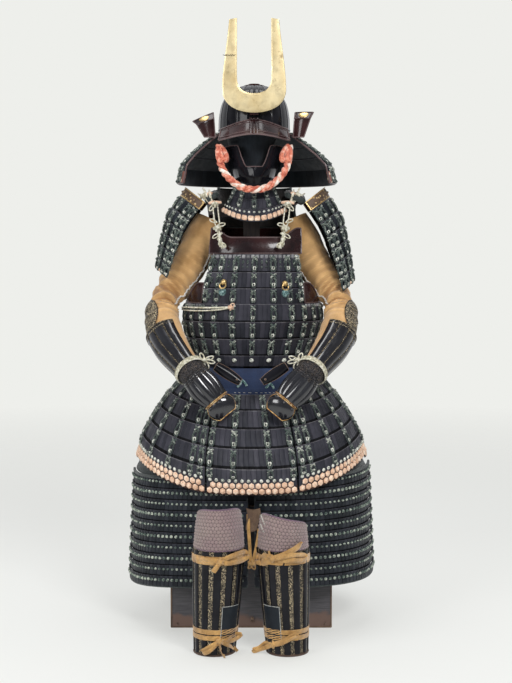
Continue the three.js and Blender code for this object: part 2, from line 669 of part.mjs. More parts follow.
function addHands() {
  const { from, to, half, rise } = BACK_OF_HAND;
  const back = (u, v) => {
    const wide = half * (0.86 + 0.14 * Math.sin(Math.PI * v));
    return onHand(mix(from, to, v), -wide * Math.sin(rad(u)), rise * Math.cos(rad(u)) * (1 - 0.25 * v * v) - 6);
  };
  addPair("hand_guard", sheet(back, -84, 84, 0, 1, 8, 4, 2.5), MATERIAL.lacquer);

  // A domed oval plate covers the fingers.
  const fingers = (u, v) => {
    const wide = FINGERS.half * Math.sin(mix(0.26, 0.84, v) * Math.PI) ** 0.6;
    const out = FINGERS.rise * Math.cos(rad(u)) * (1 - 0.75 * v * v) - 8;
    return onHand(mix(FINGERS.from, FINGERS.to, v), -wide * Math.sin(rad(u)), out);
  };
  addPair("finger_guard", sheet(fingers, -84, 84, 0, 1, 8, 4, 2.5), MATERIAL.lacquer);

  const along = new THREE.Vector2(THUMB.to[0] - THUMB.from[0], THUMB.to[1] - THUMB.from[1]);
  const length = along.length();
  along.normalize();
  const thumb = (u, v) => {
    const wide = -THUMB.half * Math.sin(mix(0.22, 0.88, v) * Math.PI) ** 0.5 * Math.sin(rad(u));
    const forward = THUMB.from[0] + along.x * length * v - along.y * wide;
    const thumbward = THUMB.from[1] + along.y * length * v + along.x * wide;
    return onHand(forward, thumbward, THUMB.rise * Math.cos(rad(u)) * (1 - 0.3 * v) - 4);
  };
  addPair("thumb_guard", sheet(thumb, -80, 80, 0, 1, 6, 4, 2.5), MATERIAL.lacquer);

  // A doubled cord is tied round each wrist, over the end of the forearm guard.
  const ring = Array.from({ length: 16 }, (_, i) => arm((i / 16) * 360, 0.985, 12));
  addPair("wrist_cord", cordRing(ring, 5, 8), MATERIAL.paleCord);
}

// ---------------------------------------------------------------- legs

function shinPoint(table, u, z) {
  const row = at(table, "z", z);
  return section(row, u, z, 2, SHIN_Y);
}

function addLegs() {
  const shin = (u, v) => shinPoint(SHIN, u, v);
  addPair("shin_guard", sheet(shin, -SHIN_SPAN, SHIN_SPAN, 280, 0, 14, 4, PLATE), MATERIAL.lacquer);
  // Each knee's quilted top edge is arched and slopes down to the outside.
  const knee = ({ inner, outer }) => (u, v) => {
    const top = mix(inner, outer, smooth((u + KNEE_SPAN) / (2 * KNEE_SPAN))) - 14 * (u / KNEE_SPAN) ** 4;
    return shinPoint(KNEE, u, mix(top, 281, v));
  };
  const quilt = (shape) => sheet(knee(shape), -KNEE_SPAN, KNEE_SPAN, 0, 1, 10, 3, 6);
  add("knee_guard_left", quilt(KNEE_TOP.left), MATERIAL.quilting);
  add("knee_guard_right", mirrored(quilt(KNEE_TOP.right)), MATERIAL.quilting);
  addShinTies();
}

// A flat ribbon goes round the shin guard and is tied in front, in a bow with two loops and two ends.
const BOW = { width: 13, reach: 19, bulge: 7, ribbon: 2.4, knot: 8 };
const BOW_END = [[-3, 1], [5, 4], [30, -22], [20, -30], [-4, -4]];

function ribbonTie(zLow, zHigh, knotTurn) {
  const around = moved((u, z) => shinPoint(SHIN, u, z), PLATE + GAP, 0.5, -0.5);
  const band = sheet(around, -SHIN_SPAN - 4, SHIN_SPAN + 4, zHigh, zLow, 14, 1, 2.4);
  const up = vec(0, 0, 1);
  const knot = around(knotTurn, (zLow + zHigh) / 2);
  const face = normalAt(around, knotTurn, (zLow + zHigh) / 2, 0.5, -0.5).setZ(0).normalize();
  const across = face.clone().cross(up);
  const upright = new THREE.Matrix4().makeBasis(across, face, up).setPosition(knot);
  const facing = new THREE.Matrix4().makeBasis(across, up, face.clone().negate()).setPosition(knot);

  const { width, reach, bulge, ribbon } = BOW;
  const loop = (way) => {
    const ring = new THREE.Shape().absellipse(way * reach, bulge, reach, bulge, 0, 2 * Math.PI);
    ring.holes.push(new THREE.Path().absellipse(way * reach, bulge, reach - ribbon, bulge - ribbon, 0, 2 * Math.PI));
    const prism = new THREE.ExtrudeGeometry(ring, { depth: width, bevelEnabled: false, curveSegments: 4 });
    return prism.translate(0, 0, -width / 2).applyMatrix4(upright);
  };
  const end = (way) => {
    const outline = new THREE.Shape(BOW_END.map(([a, z]) => new THREE.Vector2(way * a, z)));
    const prism = new THREE.ExtrudeGeometry(outline, { depth: ribbon, bevelEnabled: false });
    return prism.translate(0, 0, -7 - way * 1.5).applyMatrix4(facing);
  };
  const knob = new THREE.SphereGeometry(BOW.knot, 6, 5).translate(0, 5.4, 0.7).applyMatrix4(upright);
  return joined(band, loop(1), loop(-1), end(1), end(-1), knob);
}

function addShinTies() {
  addPair("shin_tie_upper", ribbonTie(244, 266, 6), MATERIAL.ribbon);
  addPair("shin_tie_lower", ribbonTie(44, 72, 4), MATERIAL.ribbon);
}

// ---------------------------------------------------------------- chest and stand

// The head block's radius at each height.
const HEAD_PROFILE = [
  [0, 1186.6],
  [36, 1186.6],
  [38, 1215],
  [42, 1260],
  [60, 1330],
  [76, 1400],
  [80, 1440],
  [68, 1482],
  [40, 1508],
  [0, 1516],
];

function addChestAndStand() {
  const { halfWidth: w, front, back, height, wall, lidTop, lidRim } = CHEST;
  const body = cut(
    boxOf(-w, w, front, back, 0, height),
    boxOf(-w + wall, w - wall, front + wall, back - wall, wall, height + 10),
  );
  add("armour_chest", body, MATERIAL.chestWood, model);
  const lip = 3;
  const lid = cut(
    boxOf(-w - lip, w + lip, front - lip, back + lip, height - lidRim, lidTop),
    boxOf(-w - GAP, w + GAP, front - GAP, back + GAP, height - lidRim - 10, height + GAP),
    boxOf(-w + wall, w - wall, front + wall, back - wall, height - 10, lidTop - wall),
  );
  add("chest_lid", lid, MATERIAL.chestWood, model);

  // The stand: a foot board, a post, and a crossbar that the shoulder straps hang on.
  const board = boxOf(-120, 120, -90, 90, lidTop + GAP, lidTop + 20);
  const post = boxOf(-24, 24, -24, 24, lidTop + 10, 1186);
  const crossbar = boxOf(-CROSSBAR / 2, CROSSBAR / 2, -22, 22, 1150, 1186);
  add("display_stand", joined(board, post, crossbar), MATERIAL.standWood);

  // A rounded head block on the post carries the helmet and the mask.
  const profile = HEAD_PROFILE.map(([r, z]) => new THREE.Vector2(r, z));
  const head = new THREE.LatheGeometry(profile, 16).rotateX(Math.PI / 2).scale(1, 1.15, 1);
  add("head_form", head, MATERIAL.navyCloth);
}

addCuirass();
addStraps();
addSash();
addSideTie();
addTassets();
addThighGuards();
addHelmet();
addCrest();
addFaceGuards();
addShoulderGuards();
addSleeves();
addHands();
addLegs();
addChestAndStand();

export default model;
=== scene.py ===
"""Samurai armour on its storage chest: the looks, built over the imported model.

Lengths in the tables are millimetres from the armour's upright axis; pieces are placed in metres.
"left" and "right" are the wearer's. +Z is up and the armour faces -Y.
"""
import json
from math import cos, pi, radians, sin
from types import SimpleNamespace

import bmesh
import bpy
import numpy as np
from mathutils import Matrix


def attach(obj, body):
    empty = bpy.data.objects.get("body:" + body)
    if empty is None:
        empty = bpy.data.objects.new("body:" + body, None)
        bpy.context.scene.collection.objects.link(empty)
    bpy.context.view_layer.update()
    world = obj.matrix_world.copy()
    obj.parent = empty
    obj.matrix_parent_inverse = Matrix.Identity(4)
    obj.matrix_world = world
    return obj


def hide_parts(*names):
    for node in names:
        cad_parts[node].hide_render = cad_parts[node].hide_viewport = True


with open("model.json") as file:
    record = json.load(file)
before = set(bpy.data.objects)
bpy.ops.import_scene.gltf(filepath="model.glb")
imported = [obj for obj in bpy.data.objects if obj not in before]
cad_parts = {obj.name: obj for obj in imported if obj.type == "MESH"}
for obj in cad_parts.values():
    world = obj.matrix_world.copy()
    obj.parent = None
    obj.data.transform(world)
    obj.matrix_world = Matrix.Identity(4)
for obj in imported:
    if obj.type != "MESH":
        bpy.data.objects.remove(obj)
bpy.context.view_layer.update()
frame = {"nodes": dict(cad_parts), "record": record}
rng = np.random.default_rng(11)

ARMOUR_Y = 55
HEAD_X = 8
SIDES = (("left", False), ("right", True))

# ------------------------------------------------------------------ camera

camera = bpy.data.objects.new("camera", bpy.data.cameras.new("camera"))
bpy.context.scene.collection.objects.link(camera)
bpy.context.scene.camera = camera
camera.location = (0.01324, -4.145, 1.065)
camera.rotation_euler = (radians(90 - 3.826), 0, 0)
camera.data.lens = 75.27
camera.data.sensor_width = 36


# ------------------------------------------------------------------ materials

class Paint:
    """A node material whose colour, roughness and relief come from the object's own coordinates."""

    def __init__(self, name, **inputs):
        self.material = bpy.data.materials.new(name)
        self.material.use_nodes = True
        self.nodes = self.material.node_tree.nodes
        self.links = self.material.node_tree.links
        self.shader = self.nodes["Principled BSDF"]
        self.place = self.node("ShaderNodeTexCoord").outputs["Object"]
        self.set(**inputs)

    def node(self, kind, sockets=(), **settings):
        made = self.nodes.new(kind)
        for key, value in settings.items():
            setattr(made, key, value)
        for socket, value in dict(sockets).items():
            self.put(made.inputs[socket], value)
        return made

    def put(self, socket, value):
        if isinstance(value, bpy.types.NodeSocket):
            self.links.new(value, socket)
        elif isinstance(value, tuple) and len(value) == 3 and socket.type == "RGBA":
            socket.default_value = (*value, 1)
        else:
            socket.default_value = value

    def set(self, **inputs):
        """The shader's own inputs, with _ for each space of their names."""
        for name, value in inputs.items():
            self.put(self.shader.inputs[name.replace("_", " ")], value)
        return self

    def stretched(self, *scale):
        return self.node("ShaderNodeVectorMath", {0: self.place, 1: scale}, operation="MULTIPLY").outputs[0]

    def noise(self, scale, detail=4, roughness=0.55, place=None):
        sockets = {"Vector": place or self.place, "Scale": scale, "Detail": detail, "Roughness": roughness}
        return self.node("ShaderNodeTexNoise", sockets).outputs["Fac"]

    def cells(self, scale):
        return self.node("ShaderNodeTexVoronoi", {"Vector": self.place, "Scale": scale}).outputs["Distance"]

    def waves(self, scale, direction, distortion):
        sockets = {"Vector": self.place, "Scale": scale, "Distortion": distortion, "Detail": 1.0}
        return self.node("ShaderNodeTexWave", sockets, bands_direction=direction).outputs["Fac"]

    def tint(self):
        return self.node("ShaderNodeAttribute", attribute_name="tint").outputs["Fac"]

    def ramp(self, value, *stops):
        """Colours or greys at places from 0 to 1 along a value."""
        made = self.node("ShaderNodeValToRGB", {0: value})
        while len(made.color_ramp.elements) < len(stops):
            made.color_ramp.elements.new(0.5)
        for element, (place, colour) in zip(made.color_ramp.elements, stops):
            element.position = place
            element.color = (*colour, 1) if isinstance(colour, tuple) else (colour, colour, colour, 1)
        return made.outputs[0]

    def sums(self, operation, a, b):
        return self.node("ShaderNodeMath", {0: a, 1: b}, operation=operation).outputs[0]

    def blended(self, factor, a, b, kind="MIX"):
        made = self.node("ShaderNodeMix", data_type="RGBA", blend_type=kind)
        for index, value in ((0, factor), (6, a), (7, b)):
            self.put(made.inputs[index], value)
        return made.outputs[2]

    def relief(self, height, distance, strength=1.0):
        """Bump of that depth in metres; calls add up."""
        sockets = {"Height": height, "Distance": distance, "Strength": strength}
        if self.shader.inputs["Normal"].links:
            sockets["Normal"] = self.shader.inputs["Normal"].links[0].from_socket
        return self.set(Normal=self.node("ShaderNodeBump", sockets).outputs[0])


def lacquer(name, dark, light, gloss, worn, wear=0.72, coat=0.16):
    """Polished lacquer with cloudy depth, dull handling marks and a few rubbed spots."""
    p = Paint(name, Coat_Weight=coat, Coat_Roughness=0.05, Specular_IOR_Level=0.75 * coat)
    cloud = p.ramp(p.noise(14, 5), (0.35, dark), (0.7, light))
    spots = p.ramp(p.noise(55, 8, 0.7), (wear, 0.0), (wear + 0.06, 1.0))
    p.set(Base_Color=p.blended(spots, cloud, worn))
    p.set(Roughness=p.ramp(p.noise(38, 6, 0.65), (0.3, gloss), (0.75, gloss + 0.22)))
    return p.relief(p.noise(90, 3), 0.0004, 0.35).material


def cloth(name, shades, weave, sheen=0.3, relief=0.0006, mottle=16, roughness=0.85):
    """Plain-woven cloth: crossed threads, uneven dye and soft fuzz."""
    p = Paint(name, Roughness=roughness, Sheen_Weight=sheen, Sheen_Roughness=0.5)
    dye = p.ramp(p.noise(mottle, 6, 0.6), *shades)
    threads = p.sums("ADD", p.waves(weave, "X", 1.5), p.waves(weave, "Z", 1.5))
    fleck = p.ramp(p.noise(420, 2), (0.3, 0.72), (0.7, 1.12))
    p.set(Base_Color=p.blended(1.0, dye, fleck, "MULTIPLY"))
    p.relief(threads, relief, 0.5)
    return p.relief(p.noise(60, 4), 0.0015, 0.35).material


def scales(name, dark, light, roughness=0.5):
    """Matte lacquered rawhide, a slightly different shade on each scale."""
    p = Paint(name, Specular_IOR_Level=0.2)
    shade = p.ramp(p.tint(), (0.0, dark), (1.0, light))
    dust = p.ramp(p.noise(24, 6, 0.65), (0.35, 0.72), (0.75, 1.25))
    p.set(Base_Color=p.blended(1.0, shade, dust, "MULTIPLY"))
    p.set(Roughness=p.ramp(p.noise(70, 4), (0.3, roughness - 0.1), (0.7, roughness + 0.14)))
    return p.relief(p.noise(240, 5), 0.0006, 0.5).material


def quilted(name, seam, face, stain):
    """Cloth with painted shade in its seams and folds, where tint is 0, and its plain dye where tint is 1."""
    p = Paint(name, Roughness=0.85, Sheen_Weight=0.35, Sheen_Roughness=0.5)
    dye = p.blended(p.ramp(p.noise(13, 5, 0.6), (0.38, 0.0), (0.64, 1.0)), face, stain)
    # seam is the painted shade colour, laid where the tint is low.
    p.set(Base_Color=p.blended(p.ramp(p.tint(), (0.0, 0.0), (0.5, 1.0)), seam, dye))
    p.relief(p.sums("ADD", p.waves(760, "X", 1.5), p.waves(760, "Z", 1.5)), 0.0005, 0.5)
    return p.relief(p.noise(90, 4), 0.001, 0.4).material


def braid(name, *shades, scale=150):
    """Silk braid in several colours that come and go along each strand."""
    p = Paint(name, Roughness=0.7, Sheen_Weight=0.25)
    run = p.sums("ADD", p.noise(scale, 2), p.sums("MULTIPLY", p.sums("SUBTRACT", p.tint(), 0.5), 0.22))
    p.set(Base_Color=p.ramp(run, *shades))
    return p.relief(p.waves(420, "DIAGONAL", 2.0), 0.0006, 0.6).material


def gold(name, bright, dull, spot, roughness=0.36, metal=0.75):
    """Thin worn gold leaf, rubbed to its ground in places."""
    p = Paint(name, Metallic=metal, Specular_IOR_Level=0.5)
    leaf = p.ramp(p.noise(11, 7, 0.62), (0.32, dull), (0.62, bright))
    rubbed = p.ramp(p.noise(34, 8, 0.72), (0.57, 0.0), (0.70, 0.9))
    p.set(Base_Color=p.blended(rubbed, leaf, spot))
    p.set(Roughness=p.ramp(p.noise(50, 5), (0.3, roughness), (0.7, roughness + 0.2)))
    return p.relief(p.noise(120, 4), 0.0004, 0.4).material


def mail(name, ring, between, gilt, scale=330, metal=0.6):
    """Small linked rings over cloth, some of them still gilt."""
    p = Paint(name, Metallic=metal, Roughness=0.45)
    distance = p.cells(scale)
    wear = p.ramp(p.noise(130, 3), (0.48, 0.0), (0.6, 1.0))
    metals = p.blended(wear, ring, gilt)
    p.set(Base_Color=p.blended(p.ramp(distance, (0.32, 0.0), (0.5, 1.0)), metals, between))
    return p.relief(distance, -0.0016, 1.0).material


def printed_leather(name, ground, figure, scale=95):
    """Smoked leather with a small stencilled all-over spot."""
    p = Paint(name, Roughness=0.6)
    spots = p.ramp(p.cells(scale), (0.22, 1.0), (0.34, 0.0))
    shade = p.blended(p.ramp(p.noise(40, 4), (0.4, 0.25), (0.65, 0.9)), ground,
                      tuple(0.5 * c for c in ground))
    p.set(Base_Color=p.blended(spots, shade, figure))
    return p.relief(p.noise(300, 4), 0.0005, 0.5).material


def planks(name, shades, worn, worn_below, grain=(3, 3, 60)):
    """Lacquered or bare wood with a grain, worn through towards its foot."""
    p = Paint(name, Specular_IOR_Level=0.5)
    lines = p.noise(6, 7, 0.6, p.stretched(*grain))
    base = p.ramp(lines, *shades)
    level = p.node("ShaderNodeSeparateXYZ", {0: p.place}).outputs["Z"]
    ragged = p.sums("ADD", level, p.sums("MULTIPLY", p.sums("SUBTRACT", p.noise(9, 6, 0.65), 0.5), 0.10))
    fade = {"Value": ragged, "From Min": worn_below, "From Max": worn_below + 0.012,
            "To Min": 1.0, "To Max": 0.0}
    low = p.node("ShaderNodeMapRange", fade).outputs[0]
    rubbed = p.ramp(p.noise(30, 8, 0.7), (0.62, 0.0), (0.70, 0.55))
    p.set(Base_Color=p.blended(p.sums("MAXIMUM", low, rubbed), base, worn))
    p.set(Roughness=p.ramp(p.noise(24, 5), (0.3, 0.5), (0.7, 0.75)))
    return p.relief(lines, 0.0008, 0.5).material


BLACK = lacquer("black_lacquer", (0.004, 0.004, 0.006), (0.012, 0.012, 0.016), 0.08, (0.05, 0.035, 0.03))
POLISHED = lacquer("polished_lacquer", (0.005, 0.005, 0.008), (0.014, 0.015, 0.020), 0.10,
                   (0.05, 0.035, 0.03), coat=0.75)
BROWN = lacquer("brown_lacquer", (0.012, 0.006, 0.007), (0.042, 0.014, 0.014), 0.14, (0.1, 0.06, 0.045),
                coat=0.3)
SCALE = scales("scales", (0.020, 0.021, 0.029), (0.049, 0.048, 0.063))
SCALE_DARK = scales("scales_in_shade", (0.009, 0.012, 0.017), (0.026, 0.030, 0.039), 0.42)
# Lighter upper edges of the scale rows: partly wear, partly a painted highlight where the edges stand out
# into the light.
EDGE_WEAR_AND_HIGHLIGHT = scales("scale_edges_worn_and_highlit", (0.06, 0.058, 0.07), (0.15, 0.145, 0.16), 0.45)
# Near-black painted shade: the feet of the scale rows, and the inner faces of the helmet bowl, peak and
# wings.
PAINTED_SHADE = scales("painted_shade_black", (0.002, 0.002, 0.003), (0.004, 0.004, 0.006), 0.8)
LACE = braid("lacing", (0.42, (0.008, 0.020, 0.019)), (0.54, (0.032, 0.050, 0.044)),
             (0.64, (0.10, 0.13, 0.11)), (0.74, (0.38, 0.41, 0.34)), scale=330)
KNOT = braid("lacing_knots", (0.38, (0.022, 0.045, 0.040)), (0.50, (0.09, 0.12, 0.10)),
             (0.61, (0.30, 0.33, 0.28)), (0.70, (0.75, 0.75, 0.66)), scale=330)
PEARL = braid("pale_stitches", (0.34, (0.20, 0.23, 0.19)), (0.5, (0.60, 0.62, 0.53)),
              (0.62, (0.88, 0.88, 0.80)), scale=200)
DOT = braid("lacing_dots", (0.36, (0.04, 0.07, 0.058)), (0.5, (0.16, 0.21, 0.17)),
            (0.62, (0.50, 0.54, 0.45)), scale=110)
BEAD = braid("bead_leather", (0.34, (0.68, 0.42, 0.27)), (0.5, (0.84, 0.56, 0.39)),
             (0.64, (0.94, 0.74, 0.57)), scale=90)
SILK = braid("cream_braid", (0.35, (0.40, 0.37, 0.26)), (0.5, (0.68, 0.65, 0.50)), (0.62, (0.86, 0.84, 0.73)))
# The first colour of a quilted cloth is its painted shade in seams and folds.
OCHRE = quilted("ochre_cloth", (0.33, 0.155, 0.045), (0.78, 0.48, 0.205), (0.50, 0.28, 0.10))
PIPING = cloth("white_piping", [(0.35, (0.50, 0.47, 0.42)), (0.6, (0.88, 0.86, 0.80))], 700)
NAVY = cloth("navy_cloth", [(0.3, (0.008, 0.019, 0.060)), (0.65, (0.019, 0.044, 0.125))], 620)
HEAD_CLOTH = cloth("head_cloth", [(0.3, (0.006, 0.010, 0.016)), (0.65, (0.013, 0.022, 0.034))], 500)
# QUILT and COLLAR: the first colour is the painted shade in the quilting seams.
QUILT = quilted("quilted_cloth", (0.055, 0.032, 0.035), (0.35, 0.27, 0.245), (0.29, 0.20, 0.205))
COLLAR = quilted("collar_cloth", (0.004, 0.005, 0.007), (0.022, 0.028, 0.034), (0.05, 0.04, 0.035))
QUILT_EDGE = cloth("quilt_binding", [(0.35, (0.11, 0.055, 0.10)), (0.65, (0.22, 0.12, 0.18))], 760)
RIBBON = cloth("golden_ribbon", [(0.35, (0.36, 0.18, 0.042)), (0.62, (0.70, 0.40, 0.125))], 900,
               sheen=0.4, relief=0.0004, mottle=28, roughness=0.5)
GILT = gold("gold_leaf", (0.78, 0.66, 0.40), (0.52, 0.40, 0.20), (0.22, 0.15, 0.07))
FITTING = gold("gilt_copper", (0.74, 0.55, 0.26), (0.46, 0.29, 0.11), (0.10, 0.06, 0.03), 0.3, 0.95)
INSIDE = scales("dark_lining", (0.006, 0.009, 0.014), (0.018, 0.025, 0.033), 0.45)
RIM = lacquer("worn_rims", (0.06, 0.038, 0.038), (0.17, 0.12, 0.12), 0.22, (0.34, 0.28, 0.25), 0.62)
LEATHER = lacquer("brown_leather", (0.045, 0.028, 0.022), (0.13, 0.085, 0.065), 0.5, (0.3, 0.24, 0.19), 0.64)
SEAM_BROWN = scales("bead_ground", (0.030, 0.014, 0.010), (0.07, 0.032, 0.022), 0.7)
SMOKED = printed_leather("smoked_leather", (0.20, 0.07, 0.05), (0.62, 0.50, 0.38), 60)
PALE_SCALE = scales("pale_squares", (0.16, 0.16, 0.17), (0.36, 0.36, 0.37))
WORN_HOLE = lacquer("worn_ground", (0.02, 0.014, 0.01), (0.06, 0.045, 0.03), 0.6, (0.1, 0.08, 0.05))
TEAL = braid("teal_tassel", (0.38, (0.03, 0.075, 0.075)), (0.5, (0.12, 0.24, 0.24)),
             (0.62, (0.42, 0.55, 0.53)))
SALMON = braid("salmon_cord", (0.36, (0.52, 0.10, 0.055)), (0.5, (0.78, 0.24, 0.14)),
               (0.66, (0.92, 0.52, 0.40)), scale=80)
PALE_ROPE = braid("pale_rope", (0.34, (0.80, 0.36, 0.25)), (0.46, (0.90, 0.72, 0.60)),
                  (0.58, (0.94, 0.90, 0.82)), scale=80)
CORD_GOLD = braid("golden_cord", (0.36, (0.30, 0.12, 0.03)), (0.5, (0.62, 0.33, 0.08)),
                  (0.64, (0.85, 0.62, 0.30)))
PALE_STITCH = braid("pale_stitching", (0.4, (0.22, 0.24, 0.24)), (0.6, (0.55, 0.56, 0.53)))
WORN_BROWN = cloth("worn_brown", [(0.35, (0.10, 0.055, 0.032)), (0.65, (0.22, 0.135, 0.08))], 600)
BINDING = cloth("green_black_binding", [(0.35, (0.010, 0.020, 0.020)), (0.65, (0.024, 0.036, 0.034))], 620)
MAIL = mail("iron_mail", (0.17, 0.14, 0.12), (0.010, 0.009, 0.010), (0.50, 0.34, 0.15))
MAIL_GOLD = mail("gilt_mail", (0.40, 0.33, 0.22), (0.020, 0.016, 0.012), (0.80, 0.66, 0.42), 360, 0.4)
CUFF = mail("cuff_mail", (0.10, 0.092, 0.095), (0.007, 0.007, 0.009), (0.17, 0.13, 0.10), 420, 0.5)
PRINTED = printed_leather("printed_leather", (0.11, 0.065, 0.038), (0.52, 0.36, 0.16))
CHEST = planks("chest_lacquer", [(0.35, (0.052, 0.050, 0.056)), (0.65, (0.095, 0.090, 0.098))],
               (0.15, 0.092, 0.072), worn_below=0.030)
WOOD = planks("stand_wood", [(0.35, (0.016, 0.012, 0.012)), (0.65, (0.042, 0.028, 0.024))],
              (0.09, 0.06, 0.045), worn_below=-1.0, grain=(40, 40, 4))


# ------------------------------------------------------------------ mesh building


def unit(vectors):
    return vectors / np.linalg.norm(vectors, axis=-1, keepdims=True)


def xyz(x, y, z):
    """Points from numbers or grids of x, y and z."""
    return np.stack(np.broadcast_arrays(x, y, z), -1)


class Piece:
    """Vertices and faces in millimetres from the armour's axis, with a paint and a tint for each face."""

    def __init__(self, x=0, y=ARMOUR_Y):
        self.shift = np.array([x, y, 0.0])
        self.points, self.faces, self.paints, self.tints = [], [], [], []
        self.count = 0

    def add(self, points, faces, paint=0, tint=0.5):
        """New points, and faces numbered from the first of them."""
        points = np.asarray(points, float).reshape(-1, 3)
        self.points.append(points)
        self.join(np.asarray(faces, int) + self.count, paint, tint)
        self.count += len(points)

    def join(self, faces, paint=0, tint=0.5):
        """Faces between points that are already there."""
        faces = np.asarray(faces, int)
        self.faces.append(faces)
        self.paints.append(np.broadcast_to(paint, len(faces)).astype(int))
        self.tints.append(np.broadcast_to(tint, len(faces)).astype(float))

    def grid(self, points, paint=0, wrap_i=False, wrap_j=False, tint=0.5):
        """Quads over a (rows, columns, 3) grid; wrapping joins its last line to its first."""
        rows, columns = points.shape[:2]
        i = np.arange(rows - (not wrap_i))[:, None]
        j = np.arange(columns - (not wrap_j))[None, :]
        at = lambda a, b: (a % rows) * columns + b % columns
        quads = np.stack([at(i, j), at(i + 1, j), at(i + 1, j + 1), at(i, j + 1)], -1)
        shape = quads.shape[:2]
        self.add(points, quads.reshape(-1, 4), np.broadcast_to(paint, shape).ravel(),
                 np.broadcast_to(tint, shape).ravel())

    def tube(self, path, radius, paint=0, sides=6, closed=False, flat=1.0, tint=0.5, up=(0.13, -0.9, 0.4),
             wide=None):
        """A cord along a path, with closed ends: flattened where flat is under 1, its width along wide."""
        path = np.asarray(path, float)
        along = unit(np.roll(path, -1, 0) - np.roll(path, 1, 0) if closed else np.gradient(path, axis=0))
        if wide is None:
            side = unit(np.cross(along, np.asarray(up, float)))
        else:
            side = np.broadcast_to(np.asarray(wide, float), path.shape)
            side = unit(side - along * np.sum(side * along, 1, keepdims=True))
        up = np.cross(side, along)
        turn = np.arange(sides) / sides * 2 * pi
        radius = np.broadcast_to(radius, len(path))[:, None, None]
        ring = side[:, None] * np.cos(turn)[:, None] + flat * up[:, None] * np.sin(turn)[:, None]
        self.grid(path[:, None] + radius * ring, paint, closed, True, tint)
        if not closed:
            first = self.count - len(path) * sides
            ends = [[first + k for k in range(sides)], [self.count - 1 - k for k in range(sides)]]
            self.join(ends, paint, tint)

    def made(self, name, paints, slot, replaces="", mirror=False, body="armour", sharp=38):
        """The Blender object: metres, points that coincide merged, normals outward, edges over sharp degrees
        kept crisp. mirror turns the wearer's left into the right."""
        metres = (np.concatenate(self.points) + self.shift) * 0.001
        points, same = np.unique(np.round(metres, 7), axis=0, return_inverse=True)
        faces = [same.ravel()[f] for f in self.faces]
        if mirror:
            points[:, 0] *= -1
            faces = [f[:, ::-1] for f in faces]
        mesh = bpy.data.meshes.new(name)
        sizes = np.concatenate([np.full(len(f), f.shape[1]) for f in faces])
        mesh.vertices.add(len(points))
        mesh.vertices.foreach_set("co", points.ravel())
        mesh.loops.add(int(sizes.sum()))
        mesh.loops.foreach_set("vertex_index", np.concatenate([f.ravel() for f in faces]))
        mesh.polygons.add(len(sizes))
        mesh.polygons.foreach_set("loop_start", np.concatenate([[0], np.cumsum(sizes)[:-1]]))
        mesh.polygons.foreach_set("material_index", np.concatenate(self.paints))
        mesh.polygons.foreach_set("use_smooth", np.ones(len(sizes), bool))
        mesh.attributes.new("tint", "FLOAT", "FACE").data.foreach_set("value", np.concatenate(self.tints))
        mesh.update(calc_edges=True)
        mesh.validate()
        shells = bmesh.new()
        shells.from_mesh(mesh)
        bmesh.ops.recalc_face_normals(shells, faces=shells.faces)
        shells.to_mesh(mesh)
        shells.free()
        mesh.set_sharp_from_angle(angle=radians(sharp))
        for paint in paints:
            mesh.materials.append(paint)
        made = bpy.data.objects.new(name, mesh)
        bpy.context.scene.collection.objects.link(made)
        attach(made, body)
        if replaces:
            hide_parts(replaces)
        return made


def table(columns, *rows):
    """Rows of numbers as a function of their first column, by straight lines between rows."""
    rows = np.array(sorted(rows), float)
    names = columns.split()
    return lambda key: SimpleNamespace(**{name: np.interp(key, rows[:, 0], values)
                                          for name, values in zip(names, rows.T)})


def section(row, u, z, power=2.3, x=0, y=0):
    """A point on a rounded section: 0 degrees is the front and 90 the wearer's left."""
    s, c = np.sin(np.radians(u)), np.cos(np.radians(u))
    deep = np.where(c > 0, row.front, getattr(row, "back", row.front))
    power = 2 / power
    return xyz(x + row.half * np.sign(s) * np.abs(s) ** power, y - deep * np.sign(c) * np.abs(c) ** power, z)


def smooth(t):
    t = np.clip(t, 0, 1)
    return t * t * (3 - 2 * t)


def mixed(a, b, t):
    return a + (b - a) * t


def spaced(count, low=0.0, high=1.0):
    return np.linspace(low, high, count)


def bulge(v):
    """0 at both ends and 1 in the middle."""
    return np.sin(pi * np.clip(v, 0, 1))


class Surface:
    """point(u, v) with its outward normals. A positive du says that u turns to the wearer's left,
    and a positive dv that v runs down."""

    def __init__(self, point, du=0.5, dv=0.005):
        self.point, self.du, self.dv = point, du, dv
        self.way = np.sign(du) * np.sign(dv)

    def lift(self, u, v, out=0.0):
        u, v, out = np.broadcast_arrays(u, v, out)
        along, down = self.slopes(u, v)
        normal = np.cross(down, along) * self.way
        normal /= np.linalg.norm(normal, axis=-1, keepdims=True) + 1e-12
        return self.point(u, v) + normal * np.asarray(out)[..., None]

    def slopes(self, u, v):
        du, dv = abs(self.du), abs(self.dv)
        along = (self.point(u + du, v) - self.point(u - du, v)) / (2 * du)
        down = (self.point(u, v + dv) - self.point(u, v - dv)) / (2 * dv)
        return along, down

    def sizes(self, u, v):
        """Millimetres for one step of u and of v."""
        return [np.linalg.norm(s, axis=-1) for s in self.slopes(np.asarray(u, float), np.asarray(v, float))]


